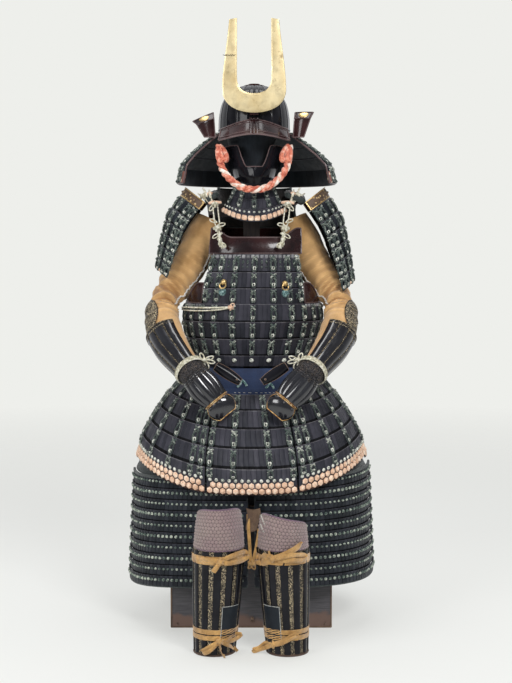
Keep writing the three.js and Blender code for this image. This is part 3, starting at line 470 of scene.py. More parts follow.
def stamped(piece, surface, template, u, v, out=0.0, wide=1.0, high=1.0, turn=0.0, paint=0):
    """Copies of a small template laid on a surface, each with a tint of its own.
    The template's x runs with u, its y up the surface and its z outward, in millimetres."""
    u, v, wide, high, turn = np.broadcast_arrays(np.atleast_1d(np.asarray(u, float)), v, wide, high, turn)
    across, down = surface.sizes(u, v)
    shape = np.concatenate(template.points)
    c, s = np.cos(turn)[:, None], np.sin(turn)[:, None]
    a = (shape[:, 0] * c - shape[:, 1] * s) * wide[:, None]
    b = (shape[:, 0] * s + shape[:, 1] * c) * high[:, None]
    height = shape[:, 2] + np.broadcast_to(out(u, v) if callable(out) else out, u.shape)[:, None]
    left, up = np.sign(surface.du), -np.sign(surface.dv)
    points = surface.lift(u[:, None] + left * a / across[:, None], v[:, None] + up * b / down[:, None],
                          height)
    paints, tints = np.concatenate(template.paints) + paint, np.concatenate(template.tints)
    start = 0
    for faces in template.faces:
        count = len(faces)
        copies = faces[None] + (np.arange(len(u)) * len(shape))[:, None, None]
        tint = tints[start:start + count][None] + rng.uniform(-0.5, 0.5, (len(u), 1))
        piece.faces.append(copies.reshape(-1, faces.shape[1]) + piece.count)
        piece.paints.append(np.tile(paints[start:start + count], len(u)))
        piece.tints.append(tint.ravel())
        start += count
    piece.points.append(points.reshape(-1, 3))
    piece.count += len(u) * len(shape)


def shell(piece, surface, u, v, thickness, paint=0, back=None, height=0.0, tint=None):
    """A closed wall over a grid of u and v. height raises its outer face, by a number or by height(u, v),
    and tint(u, v) tints that face; back paints the inner one."""
    u, v = np.meshgrid(u, v)
    lift = np.zeros_like(u) + (height(u, v) if callable(height) else height)
    outer, inner = surface.lift(u, v, lift), surface.lift(u, v, lift - thickness)
    flip = surface.way < 0
    shade = 0.5
    if tint:
        shade = tint((u[1:, 1:] + u[:-1, :-1]) / 2, (v[1:, 1:] + v[:-1, :-1]) / 2)
        shade = shade[::-1] if flip else shade
    piece.grid(outer[::-1] if flip else outer, paint, tint=shade)
    piece.grid(inner if flip else inner[::-1], paint if back is None else back)
    for side, kept in ((np.s_[0], True), (np.s_[-1], False), (np.s_[:, 0], False), (np.s_[:, -1], True)):
        edge = np.stack([outer[side], inner[side]])
        piece.grid(edge if kept != flip else edge[::-1], paint)


# ------------------------------------------------------------------ laced rows

def lacing_unit():
    """A cross knot above a pair of bowed strands with two small pale stitches, on a row 50 high."""
    made = Piece(0, 0)
    for way in (-1, 1):
        cross = [(-7.5 * way, 20, 1), (-5 * way, 18.5, 3.0), (0, 14.5, 4.4 + way), (5 * way, 10.5, 3.0),
                 (7.5 * way, 9, 1)]
        made.tube(cross, 2.9, 1, 5, up=(0, 0, 1))
        strand = [(2 * way, 8, 1), (5.5 * way, 3, 3.0), (7 * way, -7, 3.4), (5.5 * way, -17, 3.0),
                  (2 * way, -23, 1)]
        made.tube(strand, 2.7, 0, 6, up=(0, 0, 1))
        stitch = [(1.6 * way, -9, 1.5), (3.6 * way, -12, 4.2), (3.8 * way, -14.5, 4.2), (2.0 * way, -18, 1.5)]
        made.tube(stitch, 2.0, 2, 5, up=(0, 0, 1))
    return made


def knot_unit():
    """A square knot of two crossed stitches, 11 across."""
    made = Piece(0, 0)
    for way in (-1, 1):
        stitch = [(-5 * way, 5, 0), (-3 * way, 3, 2.6), (3 * way, -3, 2.9 + way), (5 * way, -5, 0)]
        made.tube(stitch, 2.3, 0, 5, up=(0, 0, 1))
    return made


def dome_unit(radius, height, sides, rings=(1.0, 0.9, 0.6, 0.22), turn=0.0, square=2.0):
    """A low rounded boss; square is the power of its outline, 2 for round."""
    made = Piece(0, 0)
    a = turn + np.arange(sides) / sides * 2 * pi
    reach = radius / (np.abs(np.cos(a)) ** square + np.abs(np.sin(a)) ** square) ** (1 / square)
    lift = [height * (1 - r ** 3) - (r == 1.0) for r in rings]
    points = np.array([[(d * r * cos(t), d * r * sin(t), z) for t, d in zip(a, reach)]
                       for r, z in zip(rings, lift)])
    made.grid(points[::-1], 0, False, True)
    made.add(points[-1], [list(range(sides))])
    return made


def ring_unit(radius, thick):
    """An upright ring."""
    made = Piece(0, 0)
    turn = spaced(25)[:-1] * 2 * pi
    made.tube(xyz(radius * np.cos(turn), radius * np.sin(turn), thick * 0.4), thick, 0, 7, closed=True,
              up=(0, 0, 1))
    return made


def plate_unit(wide, high, thick):
    """A small plate with eased edges."""
    made = Piece(0, 0)
    bevelled(made, (-wide / 2, wide / 2, -high / 2, high / 2, -0.5, thick), 0.7)
    return made


def bevelled(piece, box, bevel, paint=0):
    """A box with bevelled edges: x0, x1, y0, y1, z0, z1."""
    x0, x1, y0, y1, z0, z1 = box
    rings = []
    for z, inset in ((z0, bevel), (z0 + bevel, 0), (z1 - bevel, 0), (z1, bevel)):
        a, b, c, d = x0 + inset, x1 - inset, y0 + inset, y1 - inset
        rings.append([(a + bevel, c, z), (b - bevel, c, z), (b, c + bevel, z), (b, d - bevel, z),
                      (b - bevel, d, z), (a + bevel, d, z), (a, d - bevel, z), (a, c + bevel, z)])
    rings = np.array(rings, float)
    piece.grid(rings[::-1], paint, False, True)
    piece.add(rings[-1], [list(range(8))], paint)
    piece.add(rings[0], [list(reversed(range(8)))], paint)


LACING = lacing_unit()
LACING_HEIGHT = 50
SQUARE_KNOT = knot_unit()
DOT_KNOT = dome_unit(4.2, 3.6, 7)
HEX_BEAD = dome_unit(9.2, 4.4, 6, (1.0, 0.93, 0.78, 0.45), pi / 6)
BOX_BEAD = dome_unit(8.6, 5.0, 16, (1.0, 0.95, 0.8, 0.4), square=5)
SQUARE = dome_unit(5.0, 2.6, 12, square=5)
DISC = dome_unit(13.0, 2.6, 28, (1.0, 0.97, 0.9, 0.5))
SPECK = dome_unit(4.0, 0.3, 9)
RING_BOSS = dome_unit(9.0, 6.5, 20)
RING = ring_unit(9.0, 2.0)
TASSEL = dome_unit(11.5, 6.5, 14, (1.0, 0.92, 0.7, 0.35))
SMALL_PLATE = plate_unit(15, 10, 1.8)


def row_height(edges, lap, first):
    """How far out a row's face stands at v: proud at its upper edge, flush at its foot."""
    tops = np.asarray(edges[:-1], float)
    feet = np.asarray(edges[1:], float)

    def height(u, v):
        sign = 1 if feet[0] > tops[0] else -1
        k = np.clip(np.searchsorted(sign * tops, sign * np.asarray(v, float), "right") - 1, 0, len(tops) - 1)
        share = (v - tops[k]) / (feet[k] - tops[k])
        return np.interp(share, [0, 0.9, 1.1], [1, 0.1, -0.2]) * np.where(k > 0, lap, first) + 0.5
    return height


def scale_rows(piece, surface, u0, u1, edges, lap=5.0, first=1.0, plate=14, thick=2.6, shade_from=0.88,
               last_shaded=False):
    """Rows of upright scales. Paints: 0 scale, 1 upper edge, lighter for wear and a painted highlight, 2 foot
    in painted shade, 3 back.
    """
    for k, (top, foot) in enumerate(zip(edges, edges[1:])):
        last = k == len(edges) - 2
        rise = lap if k else first
        span, along = measured(surface, u0, u1, (top + foot) / 2)
        count = max(3, round(span / plate))
        u = along(np.append(np.arange(count)[:, None] + [0, 0.08, 0.92], count) / count)
        ridge = np.append(np.tile([-0.8, 0.55, 0.1], count), -0.8)
        share = np.array([0, 0.035, 0.3, 0.6, shade_from, 1.0 if last else 1.08])
        out = np.interp(share, [0, 0.9, 1.1], [rise, 0.5, -1.4])
        loop_share = np.append(share, [share[-1], 0])
        loop_out = np.append(out, [out[-1] - thick, rise - thick])
        loop_ridge = np.array([0.3, 1, 1, 1, 1, 1, 0, 0])
        if not last:
            loop_ridge[-3] = 0.2
        v = top + (foot - top) * loop_share
        points = surface.lift(u[None, :], v[:, None],
                              loop_out[:, None] + loop_ridge[:, None] * ridge[None, :])
        # Paint 2 darkens each row's foot below shade_from as painted shade between the rows; paint 1 lightens
        # its upper edge as wear with a painted highlight.
        paints = np.array([1, 0, 0, 0, 0 if last and not last_shaded else 2, 3, 3, 1])
        tint = np.repeat(rng.uniform(0, 1, count), 3)[None, :]
        rows, columns = points.shape[:2]
        start = piece.count
        piece.grid(points, np.broadcast_to(paints[:, None], (rows, columns - 1)), True, False,
                   np.broadcast_to(tint, (rows, columns - 1)))
        left = [start + i * columns for i in reversed(range(rows))]
        right = [start + (i + 1) * columns - 1 for i in range(rows)]
        piece.join([left, right], 3)


def lace_columns(piece, surface, columns, edges, lap=5.0, first=1.0, wide=1.0, skip=()):
    """One lacing unit on each row at each column. A column is a u, or u at the first row and at the last."""
    height = row_height(edges, lap, first)
    starts, ends = np.array([np.broadcast_to(column, 2) for column in columns], float).T
    for k, (top, foot) in enumerate(zip(edges, edges[1:])):
        if k in skip:
            continue
        middle = (top + foot) / 2
        u = mixed(starts, ends, (middle - edges[0]) / (edges[-1] - edges[0]))
        high = surface.sizes(u, np.full(len(u), middle))[1] * abs(foot - top) / LACING_HEIGHT
        stamped(piece, surface, LACING, u, middle, height, wide, high)


def measured(surface, u0, u1, v):
    """The length of a row in millimetres, and a function from a share of it to u."""
    u = np.linspace(u0, u1, 400)
    points = surface.point(u, np.full(400, v))
    length = np.append(0, np.cumsum(np.linalg.norm(np.diff(points, axis=0), axis=1)))
    return length[-1], lambda share: np.interp(share * length[-1], length, u)


def even_steps(surface, u0, u1, v, step):
    """Places along a row, about that many millimetres apart."""
    span, along = measured(surface, u0, u1, v)
    count = max(2, round(span / step))
    return along((np.arange(count) + 0.5) / count)


# ------------------------------------------------------------------ cuirass

TORSO = table("z half front back x",
              (1120, 165, 124, 122, 14), (1041, 170, 150, 138, 11), (945, 192, 166, 146, 6),
              (851, 202, 170, 148, 4), (790, 186, 155, 135, 2), (722, 160, 136, 119, 0))


def torso_point(u, z):
    row = TORSO(z)
    return section(row, u, z, 2.4, row.x)


torso = Surface(torso_point, 0.5, -1)
LONG_ROWS = [901, 851, 802, 754, 722]
SHORT_ROWS = [1041, 990, 945, 904]


def both_ways(*turns):
    """Each turn to the right and to the left, and 0 once."""
    return np.array([way * turn for turn in turns for way in ((-1, 1) if turn else (1,))])


CHEST_COLUMNS = both_ways(0, 13.2, 27.5, 39.5)
WAIST_COLUMNS = both_ways(0, 13.2, 29, 43, 57, 71, 84)


def build_cuirass():
    for name, middle in (("cuirass_front", 0), ("cuirass_back", 180)):
        rows = Piece()
        scale_rows(rows, torso, middle - 89, middle + 89, LONG_ROWS, shade_from=0.92)
        scale_rows(rows, torso, middle - 43, middle + 43, SHORT_ROWS[:-1] + [899], shade_from=0.92)
        rows.made(name + "_rows", [SCALE, EDGE_WEAR_AND_HIGHLIGHT, PAINTED_SHADE, SCALE_DARK], "laced_scales", name)
        lacing = Piece()
        lace_columns(lacing, torso, middle + WAIST_COLUMNS, LONG_ROWS, skip=(3,))
        lace_columns(lacing, torso, middle + CHEST_COLUMNS, SHORT_ROWS)
        stamped(lacing, torso, DOT_KNOT, middle + WAIST_COLUMNS, 741, 5.0, 1.7, 1.5, paint=2)
        # Pale squares under the chest plate, with two rows of stitches below them.
        head = even_steps(torso, middle - 42, middle + 42, 1035, 13.0)
        stamped(lacing, torso, SQUARE, head, 1035, 1.8, 1.05, 1.1, paint=3)
        stamped(lacing, torso, DOT_KNOT, head, 1020, 1.4, 0.8, 1.5)
        stamped(lacing, torso, DOT_KNOT, head, 1006, 1.2, 0.7, 0.8)
        for way in (-1, 1):
            side = even_steps(torso, middle + way * 44, middle + way * 87, 896, 12.5)
            stamped(lacing, torso, SQUARE, side, 895, 1.6, 1.0, 0.9, paint=3)
        for level in SHORT_ROWS[:-1]:
            for way in (-1, 1):
                stamped(lacing, torso, SQUARE_KNOT, middle + way * 35.5, level - 22, 4.5, 0.9, 1.3)
        lacing.made(name + "_lacing", [LACE, KNOT, PEARL, PALE_SCALE], "lacing")


# ------------------------------------------------------------------ skirt and thigh guards

SKIRT = table("w half front back zFront zSide zBack",
              (0, 206, 192, 186, 646, 680, 684), (0.25, 248, 250, 232, 590, 628, 634),
              (0.5, 285, 304, 266, 527, 574, 584), (0.75, 315, 350, 288, 463, 520, 532),
              (1, 334, 378, 302, 393, 458, 474))
SKIRT_PANELS = [
    ("tasset_front", (-23.4, 21.4), (-15.4, 16.4), 0),
    ("tasset_front_left", (22.6, 76.4), (17.2, 78.4), 20),
    ("tasset_side_left", (77.6, 128.4), (79.2, 128.4), 0),
    ("tasset_back_left", (129.6, 179.4), (129.6, 179.6), 0),
    ("tasset_front_right", (-24.6, -76.4), (-16.2, -78.4), 12),
    ("tasset_side_right", (-77.6, -128.4), (-79.2, -128.4), 0),
    ("tasset_back_right", (-129.6, -179.4), (-129.6, -179.6), 0),
]
SKIRT_EDGES = [0.96 * k / 5 for k in range(5)] + [1.0]
BEAD_STEP = 18.2


def skirt_panel(top, hem, lift):
    """A panel between two turns at its top and two at its hem; lift raises its left lower corner."""
    def point(u, v):
        row = SKIRT(v)
        turn = mixed(mixed(top[0], hem[0], v), mixed(top[1], hem[1], v), u)
        c = np.cos(np.radians(turn))
        z = mixed(row.zSide, np.where(c > 0, row.zFront, row.zBack), c * c) + lift * u * v
        return section(row, turn, z, mixed(2.3, 2.6, v))
    return Surface(point, 0.01 if top[0] < top[1] else -0.01, 0.004)


def build_skirt():
    for name, top, hem, lift in SKIRT_PANELS:
        panel = skirt_panel(top, hem, lift)
        ends = (0.0, 1.0) if panel.du > 0 else (1.0, 0.0)
        rows = Piece()
        scale_rows(rows, panel, *ends, SKIRT_EDGES, shade_from=0.84)
        rows.made(name + "_rows", [SCALE, EDGE_WEAR_AND_HIGHLIGHT, PAINTED_SHADE, SCALE_DARK], "laced_scales", name)
        lacing = Piece()
        columns = [(0.05, 0.035), (0.94, 0.965), 0.37, 0.64, (0.16, 0.10)]
        if name == "tasset_front":
            columns[2:] = 0.34, 0.66
        tall = float(panel.sizes(0.5, 0.95)[1])
        above = lambda millimetres: 1 - millimetres / tall
        lace_columns(lacing, panel, columns, SKIRT_EDGES, skip=(4,))
        lace_columns(lacing, panel, columns, [SKIRT_EDGES[4], above(40)], first=5.0)
        stitches = even_steps(panel, 0.005, 0.995, 0.9, 17)
        stamped(lacing, panel, DOT_KNOT, stitches, above(38), row_height(SKIRT_EDGES, 5, 1), 1.25, 1.25,
                paint=2)
        lacing.made(name + "_lacing", [LACE, KNOT, PEARL], "lacing")
        beads = Piece()
        for rise, shift in ((9.0, 0), (24.5, 1)):
            span, along = measured(panel, 0.0, 1.0, above(rise))
            count = round(span / BEAD_STEP)
            places = along((np.arange(count - shift) + 0.5 + 0.5 * shift) / count)
            stamped(beads, panel, HEX_BEAD, places, above(rise), 1.8, span / count / BEAD_STEP)
        shell(beads, panel, spaced(25, 0.002, 0.998), spaced(4, above(33), above(0.2)), 1.5, 1, 1, 1.6)
        beads.made(name + "_beads", [BEAD, SEAM_BROWN], "bead_rows")


THIGH = table("w half front zFront zSide", (0, 342, 339, 430, 420), (1, 356, 352, 134, 108))
THIGH_RISE = {"left": 22, "right": 0}
APRON = table("w half front z",
              (0, 158, 136, 700), (0.25, 180, 165, 626), (0.375, 197, 184, 608),
              (0.5, 236, 250, 567), (0.75, 299, 320, 490), (1, 336, 332, 424))


def thigh_surface(rise):
    def point(u, v):
        row = THIGH(v)
        return section(row, u, mixed(row.zFront, row.zSide + rise, np.sin(np.radians(u)) ** 2), 2.9)
    return Surface(point, 0.5, 0.004)


def build_thigh_guards():
    for side, rise in THIGH_RISE.items():
        guard = thigh_surface(rise)
        rows = Piece()
        scale_rows(rows, guard, 0.3, 83, [k / 10 for k in range(11)], lap=4.0, thick=2.2, shade_from=0.9)
        # The upper edges take the lighter SCALE over the shaded scales: a painted highlight.
        rows.made(f"thigh_guard_{side}_rows", [SCALE_DARK, SCALE, PAINTED_SHADE, NAVY], "laced_scales",
                  f"thigh_guard_{side}", mirror=side == "right")
        lacing = Piece()
        for k in range(10):
            v = (k + 0.36) / 10
            size = (1.15, 1.15) if k % 2 else (0.9, 0.85)
            stamped(lacing, guard, DOT_KNOT, even_steps(guard, 0.8, 82.5, v, 14), v, 3.2, *size)
        lacing.made(f"thigh_guard_{side}_lacing", [DOT], "lacing", mirror=side == "right")


def build_apron():
    def point(u, v):
        row = APRON(v)
        power = 2 / mixed(2.4, 2.9, np.clip(v * 2 - 0.6, 0, 1))
        s, c = np.sin(np.radians(u)), np.cos(np.radians(u))
        return xyz(row.half * np.sign(s) * np.abs(s) ** power, -row.front * np.abs(c) ** power, row.z)
    apron = Piece()
    shell(apron, Surface(point, 0.5, 0.004), spaced(73, -89.9, 89.9), spaced(33), 2.4,
          height=lambda u, v: 0.5 * v * np.sin(u * 0.5) * np.sin(pi * v))
    apron = apron.made("thigh_apron_cloth", [BINDING], "navy_cloth", "thigh_apron")


# ------------------------------------------------------------------ cords, knots and ribbons

def route(points, t):
    """A centripetal Catmull-Rom curve through points, at t from 0 to 1."""
    points = np.asarray(points, float)
    ends = np.vstack([2 * points[0] - points[1], points, 2 * points[-1] - points[-2]])
    place = np.clip(np.asarray(t, float), 0, 1) * (len(points) - 1)
    first = np.minimum(place.astype(int), len(points) - 2)
    w = (place - first)[..., None]
    a, b, c, d = (ends[first + k] for k in range(4))
    near, span, far = (np.sqrt(np.linalg.norm(q - p, axis=-1, keepdims=True))
                       for p, q in ((a, b), (b, c), (c, d)))
    leave = span * ((b - a) / near - (c - a) / (near + span) + (c - b) / span)
    reach = span * ((c - b) / span - (d - b) / (span + far) + (d - c) / far)
    return b + leave * w + (3 * (c - b) - 2 * leave - reach) * w ** 2 + (2 * (b - c) + leave + reach) * w ** 3


def curve(points, count=24):
    return route(points, spaced(count))


def twisted(piece, path, offset, radius, pitch, paints):
    """Strands laid round a path, one turn for each pitch."""
    along = unit(np.gradient(path, axis=0))
    side = unit(np.cross(along, (0.13, -0.9, 0.4)))
    up = np.cross(side, along)
    walked = np.append(0, np.cumsum(np.linalg.norm(np.diff(path, axis=0), axis=1)))
    for k, paint in enumerate(paints):
        turn = (walked / pitch + k / len(paints)) * 2 * pi
        strand = path + offset * (np.cos(turn)[:, None] * side + np.sin(turn)[:, None] * up)
        piece.tube(strand, radius, paint, 7, tint=0.2 + 0.6 * k / len(paints))


def knotted(piece, centre, size, out, paint=0, turns=(0.4, 1.6, 2.7, 0.0)):
    """A lump of crossed cord, size across, on a surface that faces out."""
    out = np.asarray(out, float) / np.linalg.norm(out)
    across = np.cross(out, (0.1, 0.2, 1))
    across /= np.linalg.norm(across)
    up = np.cross(across, out)
    for k, turn in enumerate(turns):
        way = cos(turn) * across + sin(turn) * up
        reach = size * (0.5 - 0.03 * k)
        run = [centre + way * reach * s + out * size * (0.42 * (1 - s * s) + 0.05 * k - 0.08)
               for s in spaced(9, -1, 1)]
        piece.tube(run, size * 0.17, paint, 6, tint=0.2 * k, up=up * 0.9 + across * 0.4)


def loop(piece, foot, tip, width, radius, paint=0, lift=(0, -3, 0)):
    """A slack loop of cord from foot out to tip and back."""
    foot, tip, lift = (np.asarray(p, float) for p in (foot, tip, lift))
    side = np.cross(tip - foot, (0, -1, 0))
    side *= width / 2 / np.linalg.norm(side)
    run = [foot, mixed(foot, tip, 0.4) + side + lift, mixed(foot, tip, 0.85) + side * 0.8 + lift, tip,
           mixed(foot, tip, 0.85) - side * 0.8, mixed(foot, tip, 0.4) - side, foot]
    piece.tube(curve(run, 22), radius, paint, 6, up=(0.2, -0.9, 0.3))


CHIN_SIDE = [(101, -74, 1352), (100, -88, 1322), (92, -108, 1288), (70, -130, 1256), (38, -143, 1232)]
SIDE_TIE = [(-90, 884, 8), (-76, 886, 12), (-60, 888, 11), (-44, 889, 10), (-28, 890, 10), (-15, 892, 10)]
STRAP_CORD = [(104, -90, 1184), (101, -112, 1158), (93, -139, 1104), (82, -154, 1062)]


def build_chin_cord():
    path = curve(CHIN_SIDE + [(0, -147, 1224)] + [(-x, y, z) for x, y, z in reversed(CHIN_SIDE)], 73)
    loops = Piece(HEAD_X)
    for way in (-1, 1):
        for foot, tip, width in (((98, -86, 1352), (80, -104, 1308), 13),
                                 ((103, -86, 1344), (96, -108, 1304), 8)):
            flip = np.array([way, 1, 1])
            loop(loops, foot * flip, tip * flip, width, 6.8, 0, (0, -4, 0))
    loops = loops.made("chin_cord_loops", [SALMON], "twisted_cord")
    rope = Piece(HEAD_X)
    twisted(rope, path, 5.7, 5.3, 62, (0, 1, 0))
    rope = rope.made("chin_cord_rope", [SALMON, PALE_ROPE], "twisted_cord", "chin_cord")


def build_side_tie():
    places = np.array(SIDE_TIE, float)
    base = torso.lift(places[:, 0], places[:, 1], places[:, 2])
    path = curve(base, 33)
    strand = Piece()
    strand.tube(path, 2.4, 0, 7)
    strand = strand.made("side_tie_strand", [SILK], "pale_cord", "side_tie_cord")
    lower = path + np.array([0, -1.0, -8.0]) * bulge(spaced(33)[:, None]) ** 0.6 + np.array([0, 0, -1.0])
    second = Piece()
    second.tube(lower, 2.0, 0, 7)
    second = second.made("side_tie_second_strand", [SILK], "pale_cord")
    end = Piece()
    knotted(end, path[-1] + [3, 0, -1], 15, (0.2, -1, 0.1), 0)
    loop(end, path[-1] + [0, -3, 0], path[-1] + [12, -4, 10], 8, 1.6)
    end = end.made("side_tie_knot", [BEAD], "pale_cord")


def build_strap_cords():
    """A doubled cord from a toggle down to the chest plate, with knots, loops and ends, on each side."""
    at = lambda t: route(STRAP_CORD, np.array(t))
    for side, mirror in SIDES:
        cords = Piece()
        for shift in (-7, 7):
            spread = np.array([shift, 0, 0]) * np.interp(spaced(24), [0, 0.12, 0.5, 0.62],
                                                         [0.5, 1, 1, 0.3])[:, None]
            cords.tube(curve(STRAP_CORD, 24) + spread, 1.9, 0, 6)
        for t, size, x in ((0.60, 20, 2), (0.74, 17, -2), (0.88, 21, 2), (0.98, 15, -1)):
            knotted(cords, at(t) + [x, -3, 0], size, (0.1, -1, 0.25), 0,
                    (0.5 + t * 9, 2.0 + t * 7, 3.4 + t * 5, 1.2))
        for t, tip in ((0.5, (20, -4, 8)), (0.55, (-22, -3, 4)), (0.7, (17, -3, -12)), (0.9, (-13, -3, -12))):
            start = at(t) + [0, -6, 0]
            loop(cords, start, start + tip, 8, 1.6)
        toggle = [(86, -96, 1189), (98, -99, 1190), (110, -99, 1190), (122, -96, 1187)]
        cords.tube(curve(toggle, 9), [3.4, 4.6, 4.2, 4.6, 4.0, 4.6, 4.2, 4.6, 3.4], 1, 8)
        knotted(cords, np.array([104, -99, 1184]), 19, (0.1, -1, 0.4), 0)
        loop(cords, (104, -100, 1184), (120, -100, 1166), 9, 1.7)
        for foot, tip in (((122, -92, 1190), (150, -70, 1212)), ((120, -90, 1192), (136, -74, 1228)),
                          ((112, -94, 1190), (118, -86, 1222))):
            run = curve([foot, mixed(np.array(foot), np.array(tip), 0.5) + [2, -7, 5], tip], 11)
            cords.tube(run, 2.2, 0, 6)
            cords.tube(run + [3.5, 1, 3.5], 2.2, 0, 6)
        knotted(cords, np.array([136, -82, 1207]), 20, (0.3, -1, 0.6), 0)
        knotted(cords, np.array([119, -88, 1214]), 15, (0.1, -1, 0.6), 1)
        cords.made(f"strap_cords_{side}", [SILK, BEAD], "pale_cord", f"strap_cord_{side}", mirror)


# ------------------------------------------------------------------ plates on the cuirass

def rim(piece, surface, u, v, radius, paint=0, out=1.0):
    """A rounded edging along a line on a surface."""
    u, v = np.broadcast_arrays(np.asarray(u, float), np.asarray(v, float))
    piece.tube(surface.lift(u, v, out), radius, paint, 6)


def rims(piece, surface, u, *lines):
    """Edgings along u, each a v, a radius, a paint and a distance out."""
    for line in lines:
        rim(piece, surface, u, *line)


def edging(piece, surface, u0, u1, radius, paint=0, out=1.0, count=60, v0=0.0, v1=1.0):
    """Edging round all four sides of a patch."""
    rims(piece, surface, spaced(count, u0, u1), (v0, radius, paint, out), (v1, radius, paint, out))
    for turn in (u0, u1):
        rim(piece, surface, turn, spaced(12, v0, v1), radius, paint, out)


def build_cuirass_plates():
    def band(middle, low, high):
        """The plate's face: its top edge is at low in the middle and at high beside it."""
        return Surface(lambda u, v: torso_point(
            u, mixed(mixed(low, high, smooth((np.abs(u - middle) - 20) / 22)), 1044, v)), 0.5, 0.01)
    for name, middle, low, high in (("chest_plate", 0, 1089, 1116), ("back_plate", 180, 1118, 1118)):
        face = band(middle, low, high)
        plate = Piece()
        shell(plate, face, spaced(61, middle - 47, middle + 47), spaced(13), 3,
              height=lambda u, v: 3.0 * bulge(v))
        edging(plate, face, middle - 47, middle + 47, 2.3, 1)
        plate.made(name + "_leather", [BROWN, RIM], "brown_lacquer", name)
    for side, mirror in SIDES:
        def point(u, v, x=-1 if mirror else 1):
            return torso_point(x * u, mixed(906 + 54 * smooth((80 - u) / 28), 903, v)) * [x, 1, 1]
        face = Surface(point, 0.5, 0.01)
        plate = Piece()
        shell(plate, face, spaced(25, 45, 80), spaced(7), 3, height=lambda u, v: 1.6 * bulge(v))
        edging(plate, face, 45, 80, 1.8, 1, count=25)
        plate.made(f"side_plate_{side}_leather", [BROWN, RIM], "brown_lacquer", f"side_plate_{side}", mirror)
    fittings = Piece()
    for turn, z in ((-22.5, 962), (23.5, 958)):
        stamped(fittings, torso, RING_BOSS, turn, z, 4.5)
        stamped(fittings, torso, RING, turn, z - 9, 6.0)
        stamped(fittings, torso, TASSEL, turn, z - 27, 5.0, paint=1)
    fittings.made("cuirass_rings", [FITTING, TEAL], "gold_fittings")


def build_collar():
    """A standing collar behind the neck, and a small quilted pad on each shoulder."""
    def collar_point(u, v):
        row = SimpleNamespace(half=mixed(108, 126, v), front=100, back=mixed(100, 120, v))
        return section(row, u, mixed(1234, 1122, v), 2.3, 9)
    face = Surface(collar_point, 0.5, 0.01)
    collar_quilt = lambda u, v: quilting(np.radians(u) * 112, v * 112, 15.0)
    collar = Piece()
    # The quilting tint paints shade into the seams between the pillows.
    shell(collar, face, spaced(89, 74, 286), spaced(21), 3.0, height=lambda u, v: 1.6 * collar_quilt(u, v),
          tint=collar_quilt)
    edging(collar, face, 74, 286, 2.6, 1, -1.0)
    collar = collar.made("neck_collar", [COLLAR, BINDING], "navy_cloth")
    pad_quilt = lambda u, v: quilting(u * 79, v * 30, 15.0)
    for (side, mirror), reach in zip(SIDES, (151, 131)):
        top = lambda u, v: xyz(mixed(106, reach, v), mixed(-92, 74, (u + 1) / 2),
                               mixed(1228, 1212, v) - 10 * u * u)
        rest = Surface(top, 0.01, 0.01)
        pad = Piece()
        # The quilting tint paints shade into the seams between the pillows.
        shell(pad, rest, spaced(41, -1, 1), spaced(21), 17.0,
              height=lambda u, v: 2.2 * pad_quilt(u, v) * np.clip(8 * v * (1 - v), 0, 1), tint=pad_quilt)
        edging(pad, rest, -1, 1, 8.4, 1, -8.5, 41)
        pad = pad.made(f"shoulder_pad_{side}", [COLLAR, BINDING], "navy_cloth", mirror=mirror)


# ------------------------------------------------------------------ helmet and mask

BOWL = [(12, 1533, 0), (45, 1524, 0), (74, 1506, 0), (92, 1479, 0), (101, 1440, 0), (103, 1392, 0)]
NECK_GUARD = table("w half front back z x",
                   (0, 107, 121, 124, 1390, 0), (0.25, 152, 150, 164, 1357, 2), (0.5, 188, 170, 194, 1328, 4),
                   (0.75, 218, 186, 219, 1297, 6), (1, 230, 192, 229, 1246, 7))
MASK = table("z half front", (1354, 86, 110), (1320, 84, 118), (1290, 74, 127), (1262, 60, 128),
             (1240, 44, 114))
THROAT = table("w half front zFront zSide", (0, 64, 92, 1222, 1238), (0.5, 83, 124, 1182, 1204),
               (1, 106, 158, 1134, 1172))


def bowl_point(u, v):
    profile = route(BOWL, v)
    r = profile[..., 0]
    return section(SimpleNamespace(half=r, front=r * 1.15), u, profile[..., 1], 2)


def peak_point(u, v):
    side = smooth(np.abs(u) / 62)
    row = SimpleNamespace(half=mixed(107, 116, v), front=mixed(123, 166, v))
    return section(row, u, mixed(mixed(1424, 1403, side), mixed(1379, 1367, side), v), 2)


def neck_point(u, v):
    row = NECK_GUARD(v)
    return section(row, u, row.z, 2.1, row.x)


def mask_point(u, v):
    top = mixed(1290, 1352, smooth((np.abs(u) - 17) / 18))
    z = mixed(top, mixed(1240, 1262, smooth(np.abs(u) / 95)), v)
    return section(MASK(z), u, z, 2)


def throat_point(u, v):
    row = THROAT(v)
    return section(row, u, mixed(row.zFront, row.zSide, np.sin(np.radians(u)) ** 2), 2.1)


def build_bowl():
    ribs = 18
    def ribbed(u, v):
        share = (u / 360 * ribs) % 1
        return 1.3 * np.exp(-((share - 0.5) / 0.045) ** 2) * np.clip(v * 4, 0, 1)
    bowl = Surface(bowl_point, 0.5, 0.004)
    dome = Piece(HEAD_X)
    one = np.array([0, 0.2, 0.36, 0.43, 0.47, 0.5, 0.53, 0.57, 0.64, 0.8])
    turns = np.append([k + one for k in range(ribs)], ribs) * 360 / ribs
    # The inner face takes the near-black painted shade.
    shell(dome, bowl, turns, spaced(26), 3, 0, 1, ribbed)
    rims(dome, bowl, spaced(73, 0, 360), (0.02, 3.0, 2, 0.3), (0.10, 1.6, 2, 0.3))
    rim(dome, bowl, spaced(97, 0, 360), 0.965, 2.6, 0, 0.8)
    dome.made("helmet_bowl_lacquer", [BLACK, PAINTED_SHADE, BROWN], "black_lacquer", "helmet_bowl")


